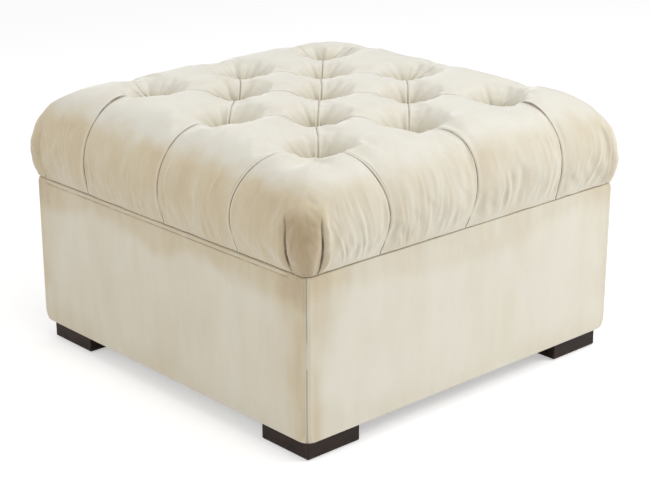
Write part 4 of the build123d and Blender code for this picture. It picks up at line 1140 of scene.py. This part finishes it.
def felt_discs(name, middles, radius, low, high, body, node):
    """Discs at these middles: the profile's radius and height follow a superellipse, with a little fuzz."""
    turn = np.linspace(0, 2 * math.pi, 41)[:-1]
    angle = np.linspace(-math.pi / 2, math.pi / 2, 15)[1:-1]
    reach = np.cos(angle) ** 0.25 * radius
    rise = np.sign(np.sin(angle)) * abs(np.sin(angle)) ** 0.5 * (high - low) / 2 + (high + low) / 2
    points, faces = [], []
    for index, (x, y) in enumerate(middles):
        fuzz = 1 + 0.006 * wave_noise(turn[None, :] * 9, angle[:, None] * 5 + index, 71 + index)
        ring_x, ring_y = x + reach[:, None] * fuzz * np.cos(turn), y + reach[:, None] * fuzz * np.sin(turn)
        ring_z = np.broadcast_to(rise[:, None], ring_x.shape)
        body_points = np.stack([ring_x, ring_y, ring_z], axis=-1).reshape(-1, 3)
        start = sum(map(len, points))
        end = start + len(body_points)
        around = np.arange(len(turn))
        points.append(np.concatenate([body_points, [[x, y, low], [x, y, high]]]))
        faces.append(grid_quads(len(angle), len(turn), wrap_columns=True)[:, [0, 3, 2, 1]] + start)
        bottom, top = fan(start + around, end)[:, [1, 0, 2]], fan(end - len(turn) + around, end + 1)
        faces.append(np.concatenate([bottom, top]))
    piece = make_piece(name, np.concatenate(points), faces)
    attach(piece, body)
    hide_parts(node)
    return piece


glide_low, glide_high = box_of("foot_glides")
foot_middle = (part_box("front_right_foot")[0][0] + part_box("front_right_foot")[1][0]) / 2
glide_radius = glide_high[0] - foot_middle
glides = felt_discs(
    "felt_glides", [(x * foot_middle, y * foot_middle) for x in (-1, 1) for y in (-1, 1)], glide_radius,
    glide_low[2], glide_high[2], "base", "foot_glides")
rest_low, rest_high = box_of("lid_bumpers")
rest_radius = rest_high[1]
rest_middle = rest_high[0] - rest_radius
rests = felt_discs(
    "felt_rests", [(x * rest_middle, y) for y in (0, -rest_middle) for x in (-1, 1)], rest_radius,
    rest_low[2], rest_high[2], "base", "lid_bumpers")

# %% [markdown]
# ## Woven cloth, dust cloth, felt and foam
# The dust cloth is pressed from loose fibres, with a grid of tiny welded dots. Felt and foam have no
# thread, only noise: long fibres in one, round cells in the other.

# %% Cloth, felt and foam finishes


def woven(name, colour, shade, thread):
    """Plain weave on the cloth's own coordinates: the product of two sine waves, one thread wide."""
    nodes = finish(name, Roughness=0.92, Sheen_Weight=0.25, Sheen_Roughness=0.5)
    cloth, place = nodes.add("TexCoord", out="UV"), nodes.place()
    u = nodes.add("SeparateXYZ", {0: cloth})
    turn = math.pi / thread
    weave = (u * turn).sine() * (u.other("Y") * turn).sine()
    slub = nodes.noise(nodes.stretched(cloth, (900.0, 60.0, 1.0)), 1.0, 2.0, 0.6)
    body = nodes.mix(nodes.span(nodes.noise(place, 9.0, 3.0), 0.35, 0.7), colour, shade)
    body = nodes.mix(nodes.span(weave, -1.0, 1.0, 0.35, 0.0), body, tinted(shade, 0.6))
    nodes["Base Color"] = nodes.mix(nodes.span(slub, 0.4, 0.7, 0.0, 0.25), body, tinted(colour, 1.2))
    nodes["Normal"] = nodes.bump(weave, 0.35, 0.0004, nodes.bump(nodes.noise(place, 25.0), 0.2, 0.004))
    return nodes.owner


def pressed_cloth(name, colour):
    """Black non-woven cloth: fibres in every direction and a grid of welded dots."""
    nodes = finish(name, Roughness=0.8, Sheen_Weight=0.15)
    place = nodes.place()
    dots = nodes.add("TexVoronoi", {"Vector": place, "Scale": 520.0, "Randomness": 0.15})
    fibres = nodes.noise(place, 700.0, 4.0, 0.7)
    nodes["Base Color"] = nodes.ramp(fibres, (0.3, tinted(colour, 0.6)), (0.75, tinted(colour, 2.2)))
    nodes["Roughness"] = nodes.span(dots, 0.0, 0.5, 0.5, 0.9)
    nodes["Normal"] = nodes.bump(dots, 0.4, 0.0003, nodes.bump(fibres, 0.3, 0.0003))
    return nodes.owner


def felted(name, colour):
    """Felt: tangled fibres, lighter flecks and a soft sheen."""
    nodes = finish(name, Roughness=0.95, Sheen_Weight=0.5, Sheen_Roughness=0.6)
    fibres = nodes.noise(nodes.stretched(nodes.place(), (1.0, 1.6, 1.0)), 900.0, 5.0, 0.75)
    nodes["Base Color"] = nodes.ramp(fibres, (0.3, colour), (0.7, tinted(colour, 2.4)))
    nodes["Normal"] = nodes.bump(fibres, 0.6, 0.0005)
    return nodes.owner


def foamed(name, colour):
    """Open-cell foam: round cells of a millimetre or so, with painted shade inside them."""
    nodes = finish(name, Roughness=0.95)
    place = nodes.place()
    cells = nodes.add("TexVoronoi", {"Vector": place, "Scale": 750.0})
    body = nodes.ramp(nodes.noise(place, 6.0, 3.0), (0.35, colour), (0.7, tinted(colour, 0.86)))
    # Painted shade in the middle of each cell.
    nodes["Base Color"] = nodes.mix(nodes.span(cells, 0.0, 0.35, 0.45, 0.0), body, tinted(colour, 0.45))
    nodes["Normal"] = nodes.bump(cells, 0.5, 0.0006)
    return nodes.owner


lining_cloth = woven("lining cloth", (0.60, 0.555, 0.47), (0.53, 0.485, 0.40), 0.0009)
dust_finish = pressed_cloth("dust cloth", (0.022, 0.022, 0.023))
felt_finish = felted("felt", (0.10, 0.085, 0.075))
foam_finish = foamed("foam", (0.84, 0.79, 0.60))
for piece, material in (
    (lining, lining_cloth), (lid_cloth, lining_cloth), (dust_cloth, dust_finish), (glides, felt_finish),
    (rests, felt_finish), (foam, foam_finish),
):
    piece.data.materials.append(material)
print("cloth, felt and foam have their finishes")

# %% [markdown]
# ## Wood
# The feet are hardwood stained almost black: the stain gathers in the pores, and the lower edges are
# rubbed a little. Plywood shows long grain on its faces and a stripe for each ply on its edges. The
# blocks and cleats are pine with wide, wavy rings. Every grain is noise drawn out along the wood.

# %% Wood finishes


def stained_foot(name):
    """Dark stained wood: grain along x, fine dark pores, a satin coat and rubbed lower edges."""
    nodes = finish(name, Roughness=0.45, Coat_Weight=0.05, Coat_Roughness=0.3)
    nodes["Specular IOR Level"] = 0.25
    place = nodes.place()
    grain = nodes.noise(nodes.stretched(place, (7.0, 60.0, 60.0)), 1.0, 6.0, 0.65)
    pores = nodes.noise(nodes.stretched(place, (40.0, 900.0, 900.0)), 1.0)
    body = nodes.ramp(
        grain, (0.30, (0.015, 0.009, 0.007)), (0.55, (0.032, 0.019, 0.014)), (0.75, (0.056, 0.034, 0.024)))
    body = nodes.mix(nodes.span(pores, 0.56, 0.66, 0.0, 0.7), body, (0.010, 0.006, 0.005))
    z = nodes.add("SeparateXYZ", {0: place}, out="Z")
    scuffs = nodes.span(z, 0.009, 0.002) * nodes.span(nodes.noise(place, 130.0, 3.0), 0.5, 0.7)
    nodes["Base Color"] = nodes.mix(scuffs * 0.5, body, (0.16, 0.105, 0.07))
    nodes["Roughness"] = nodes.span(grain, 0.3, 0.7, 0.34, 0.52)
    nodes["Normal"] = nodes.bump(pores, 0.25, 0.0004, nodes.bump(grain, 0.12, 0.0008))
    return nodes.owner


def plywood(name, thickness_axis, grain_scale):
    """Plywood: faces with long grain, and on the edges a stripe every 2.3 mm across the thickness."""
    nodes = finish(name, Roughness=0.7)
    place = nodes.place()
    grain = nodes.noise(nodes.stretched(place, grain_scale), 1.0, 5.0, 0.6)
    face = nodes.ramp(
        grain, (0.3, (0.66, 0.50, 0.32)), (0.52, (0.58, 0.41, 0.245)), (0.72, (0.46, 0.31, 0.17)))
    plies = nodes.add("SeparateXYZ", {0: place}, out=thickness_axis).pingpong(0.0023)
    ply_grain = nodes.noise(place, 220.0, 3.0, 0.6)
    edge = nodes.mix(nodes.span(plies, 0.0009, 0.0014), (0.60, 0.44, 0.26), (0.33, 0.215, 0.115))
    edge = nodes.mix(nodes.span(ply_grain, 0.45, 0.7, 0.0, 0.5), edge, (0.24, 0.15, 0.08))
    normal = nodes.add("TexCoord", out="Normal")
    facing_out = abs(nodes.add("SeparateXYZ", {0: normal}, out=thickness_axis))
    nodes["Base Color"] = nodes.mix(facing_out > 0.5, edge, face)
    nodes["Normal"] = nodes.bump(grain, 0.2, 0.0006, nodes.bump(ply_grain, 0.25, 0.0004))
    return nodes.owner


def pine(name):
    """Pine: wide rings, wavy along the wood, with fine fibres."""
    nodes = finish(name, Roughness=0.65)
    place = nodes.place()
    bend = nodes.noise(nodes.stretched(place, (6.0, 6.0, 6.0)), 1.0)
    growth = nodes.add(
        "TexWave", {"Vector": place, "Scale": 26.0, "Distortion": 6.0, "Detail": 3.0, "Detail Scale": 1.2})
    fibres = nodes.noise(nodes.stretched(place, (30.0, 500.0, 500.0)), 1.0, 3.0)
    body = nodes.ramp(
        growth, (0.1, (0.74, 0.56, 0.34)), (0.75, (0.62, 0.41, 0.20)), (0.95, (0.46, 0.27, 0.12)))
    body = nodes.mix(nodes.span(bend, 0.4, 0.7, 0.0, 0.3), body, (0.80, 0.64, 0.42))
    nodes["Base Color"] = nodes.mix(nodes.span(fibres, 0.5, 0.7, 0.0, 0.3), body, (0.42, 0.26, 0.12))
    nodes["Normal"] = nodes.bump(fibres, 0.25, 0.0005)
    return nodes.owner


along_x, along_y = (4.0, 90.0, 90.0), (90.0, 4.0, 90.0)
foot_finish = stained_foot("dark stained wood")
wall_ply_x = plywood("plywood walls left and right", "X", along_y)
wall_ply_y = plywood("plywood walls front and back", "Y", along_x)
board_ply = plywood("plywood boards", "Z", along_x)
pine_finish = pine("pine")

# %% [markdown]
# ## Metal, twine and nylon
# Hinges and stays are cold-rolled steel with a thin zinc coat, brushed lengthwise and slightly uneven in
# gloss. Screws and bolts are zinc plated too, but tumbled, so they have a fine sparkle and no direction.
# The tuft twine is laid from strands that show as slanting ridges.

# %% Metal, twine and nylon finishes


def brushed_steel(name, scale, dull):
    """Steel brushed along its length: streaks of noise change the roughness and a fine bump."""
    nodes = finish(name, Metallic=1.0, Roughness=dull)
    place = nodes.place()
    streaks = nodes.noise(nodes.stretched(place, scale), 1.0, 4.0, 0.6)
    colour = nodes.ramp(nodes.noise(place, 45.0, 3.0), (0.3, (0.66, 0.66, 0.65)), (0.7, (0.55, 0.55, 0.545)))
    stain = nodes.span(nodes.noise(place, 160.0, 4.0, 0.7), 0.62, 0.78, 0.0, 0.5)
    nodes["Base Color"] = nodes.mix(stain, colour, (0.36, 0.34, 0.31))
    nodes["Roughness"] = nodes.span(streaks, 0.3, 0.7, dull - 0.08, dull + 0.12)
    nodes["Normal"] = nodes.bump(streaks, 0.12, 0.0002)
    return nodes.owner


def twisted_twine(name):
    """Laid twine: slanting bands up its length, with fuzz."""
    nodes = finish(name, Roughness=0.9, Sheen_Weight=0.3)
    place = nodes.place()
    along_twine = {"Vector": nodes.stretched(place, (1.0, 1.0, 2.2)), "Scale": 220.0, "Distortion": 1.5}
    bands = nodes.add("TexWave", along_twine, bands_direction="DIAGONAL")
    fuzz = nodes.noise(place, 900.0, 3.0)
    colour = nodes.ramp(bands, (0.1, (0.52, 0.46, 0.36)), (0.8, (0.78, 0.72, 0.60)))
    nodes["Base Color"] = nodes.mix(nodes.span(fuzz, 0.4, 0.7, 0.0, 0.3), colour, (0.88, 0.84, 0.74))
    nodes["Normal"] = nodes.bump(bands, 0.5, 0.0004, nodes.bump(fuzz, 0.3, 0.0002))
    return nodes.owner


def nylon(name):
    """Moulded nylon: off-white with a faint grain from the mould."""
    nodes = finish(name, Roughness=0.45)
    place = nodes.place()
    grain, tint = nodes.noise(place, 650.0), nodes.noise(place, 60.0)
    nodes["Base Color"] = nodes.ramp(tint, (0.35, (0.82, 0.82, 0.79)), (0.7, (0.74, 0.73, 0.69)))
    nodes["Roughness"] = nodes.span(grain, 0.3, 0.7, 0.38, 0.55)
    nodes["Normal"] = nodes.bump(grain, 0.15, 0.0002)
    return nodes.owner


leaf_steel = brushed_steel("zinc-coated strip", (40.0, 700.0, 700.0), 0.34)
arm_steel = brushed_steel("zinc-coated arms", (700.0, 40.0, 40.0), 0.30)
screw_steel = brushed_steel("tumbled zinc", (600.0, 600.0, 600.0), 0.36)
finishes = {
    "foot_wood": foot_finish, "plywood": board_ply, "pine": pine_finish, "twine": twisted_twine("tuft twine"),
    "plastic": nylon("nylon"), "steel": screw_steel, "velvet": box_velvet, "lining": lining_cloth,
    "dust_cloth": dust_finish, "batting": foam_finish, "foam": foam_finish, "felt": felt_finish,
}
own_finishes = {
    "left_panel": wall_ply_x, "right_panel": wall_ply_x, "front_panel": wall_ply_y, "back_panel": wall_ply_y}
for part in frame["record"]["subparts"]:
    node = part["node"]
    material = own_finishes.get(node, finishes[part["material_slot"]])
    if "leaf" in node or "plate" in node or "bracket" in node:
        material = leaf_steel
    if "arm" in node:
        material = arm_steel
    cad_nodes[node].data.materials.clear()
    cad_nodes[node].data.materials.append(material)

# %% [markdown]
# ## Camera
# The camera stands where the photo was taken from. Its place and lens were found by fitting the box's edges
# and the feet, and it looks down on the near corner from about nineteen degrees.

# %% Camera
camera_place = (-1.9917, -2.1936, 1.2318)
yaw, pitch, lean = (math.radians(angle) for angle in (42.32, -19.21, -0.1))
camera_data = bpy.data.cameras.new("camera")
camera_data.sensor_fit = "HORIZONTAL"
camera_data.sensor_width = 36
camera_data.lens = 91.71
camera = bpy.data.objects.new("camera", camera_data)
bpy.context.scene.collection.objects.link(camera)
bpy.context.scene.camera = camera


def standing(right, up, back, place):
    """Placement of an object from the directions of its own three axes."""
    matrix = Matrix(np.column_stack([right, up, back]).tolist()).to_4x4()
    matrix.translation = place
    return matrix


forward = np.array([math.sin(yaw) * math.cos(pitch), math.cos(yaw) * math.cos(pitch), math.sin(pitch)])
level = np.array([math.cos(yaw), -math.sin(yaw), 0])
upward = np.cross(level, forward)
right = math.cos(lean) * level + math.sin(lean) * upward
up = math.cos(lean) * upward - math.sin(lean) * level
camera.matrix_world = standing(right, up, -forward, camera_place)
print("camera at", [round(c, 3) for c in camera.location])

# %% [markdown]
# ## Floor and light
# A white floor runs past every edge of the picture. It takes the ottoman's shadow, and the camera sees the
# rest of it almost white. One large soft lamp stands to the right, weaker ones fill the left side and the
# top, and a pale sky lights the rest, so that the cream renders about as it is written.

# %% Stage
floor_half = 6.0
floor_points = np.array([(x, y, 0.0) for x in (-1, 1) for y in (-1, 1)]) * [floor_half, floor_half, 1]
floor = make_piece("floor", floor_points, [np.array([[0, 2, 3, 1]])])
floor_nodes = finish("floor paint", Roughness=0.9)
floor_nodes["Base Color"] = (0.86, 0.86, 0.86, 1)
floor_nodes["Specular IOR Level"] = 0.0
floor_nodes["Emission Color"] = (1, 1, 1, 1)
floor_nodes["Emission Strength"] = floor_nodes.add("LightPath") * 0.42
floor.data.materials.append(floor_nodes.owner)

world = bpy.data.worlds.new("studio")
bpy.context.scene.world = world
sky = Nodes(world, "Background")
ray = sky.add("LightPath", out="Is Camera Ray")
seen = ray.at_least(ray.other("Is Glossy Ray"))
sky["Color"] = (1, 1, 1, 1)
sky["Strength"] = sky.add("MapRange", {"To Min": 0.56, "To Max": 1.0, "Value": seen})


def softbox(name, place, target, size, power, colour=(1, 1, 1)):
    """Square area lamp at a place, turned to face a target."""
    lamp = bpy.data.lights.new(name, "AREA")
    lamp.size, lamp.energy, lamp.color = size, power, colour
    lamp_object = bpy.data.objects.new(name, lamp)
    away = np.array(place, float) - np.array(target, float)
    away /= np.linalg.norm(away)
    side = np.cross([0, 0, 1], away)
    side /= np.linalg.norm(side)
    lamp_object.matrix_world = standing(side, np.cross(away, side), away, place)
    bpy.context.scene.collection.objects.link(lamp_object)


softbox("key", (2.1, -2.1, 2.1), (0, 0, 0.3), 1.3, 48)
softbox("fill", (-2.6, 0.3, 1.3), (0, 0, 0.3), 1.8, 12.5, (1.0, 0.98, 0.94))
softbox("top", (-0.4, -0.8, 2.6), (-0.1, -0.1, 0.4), 1.4, 11)
bpy.context.scene.view_settings.view_transform = "Standard"
print("lamps:", [lamp.name for lamp in bpy.data.lights])
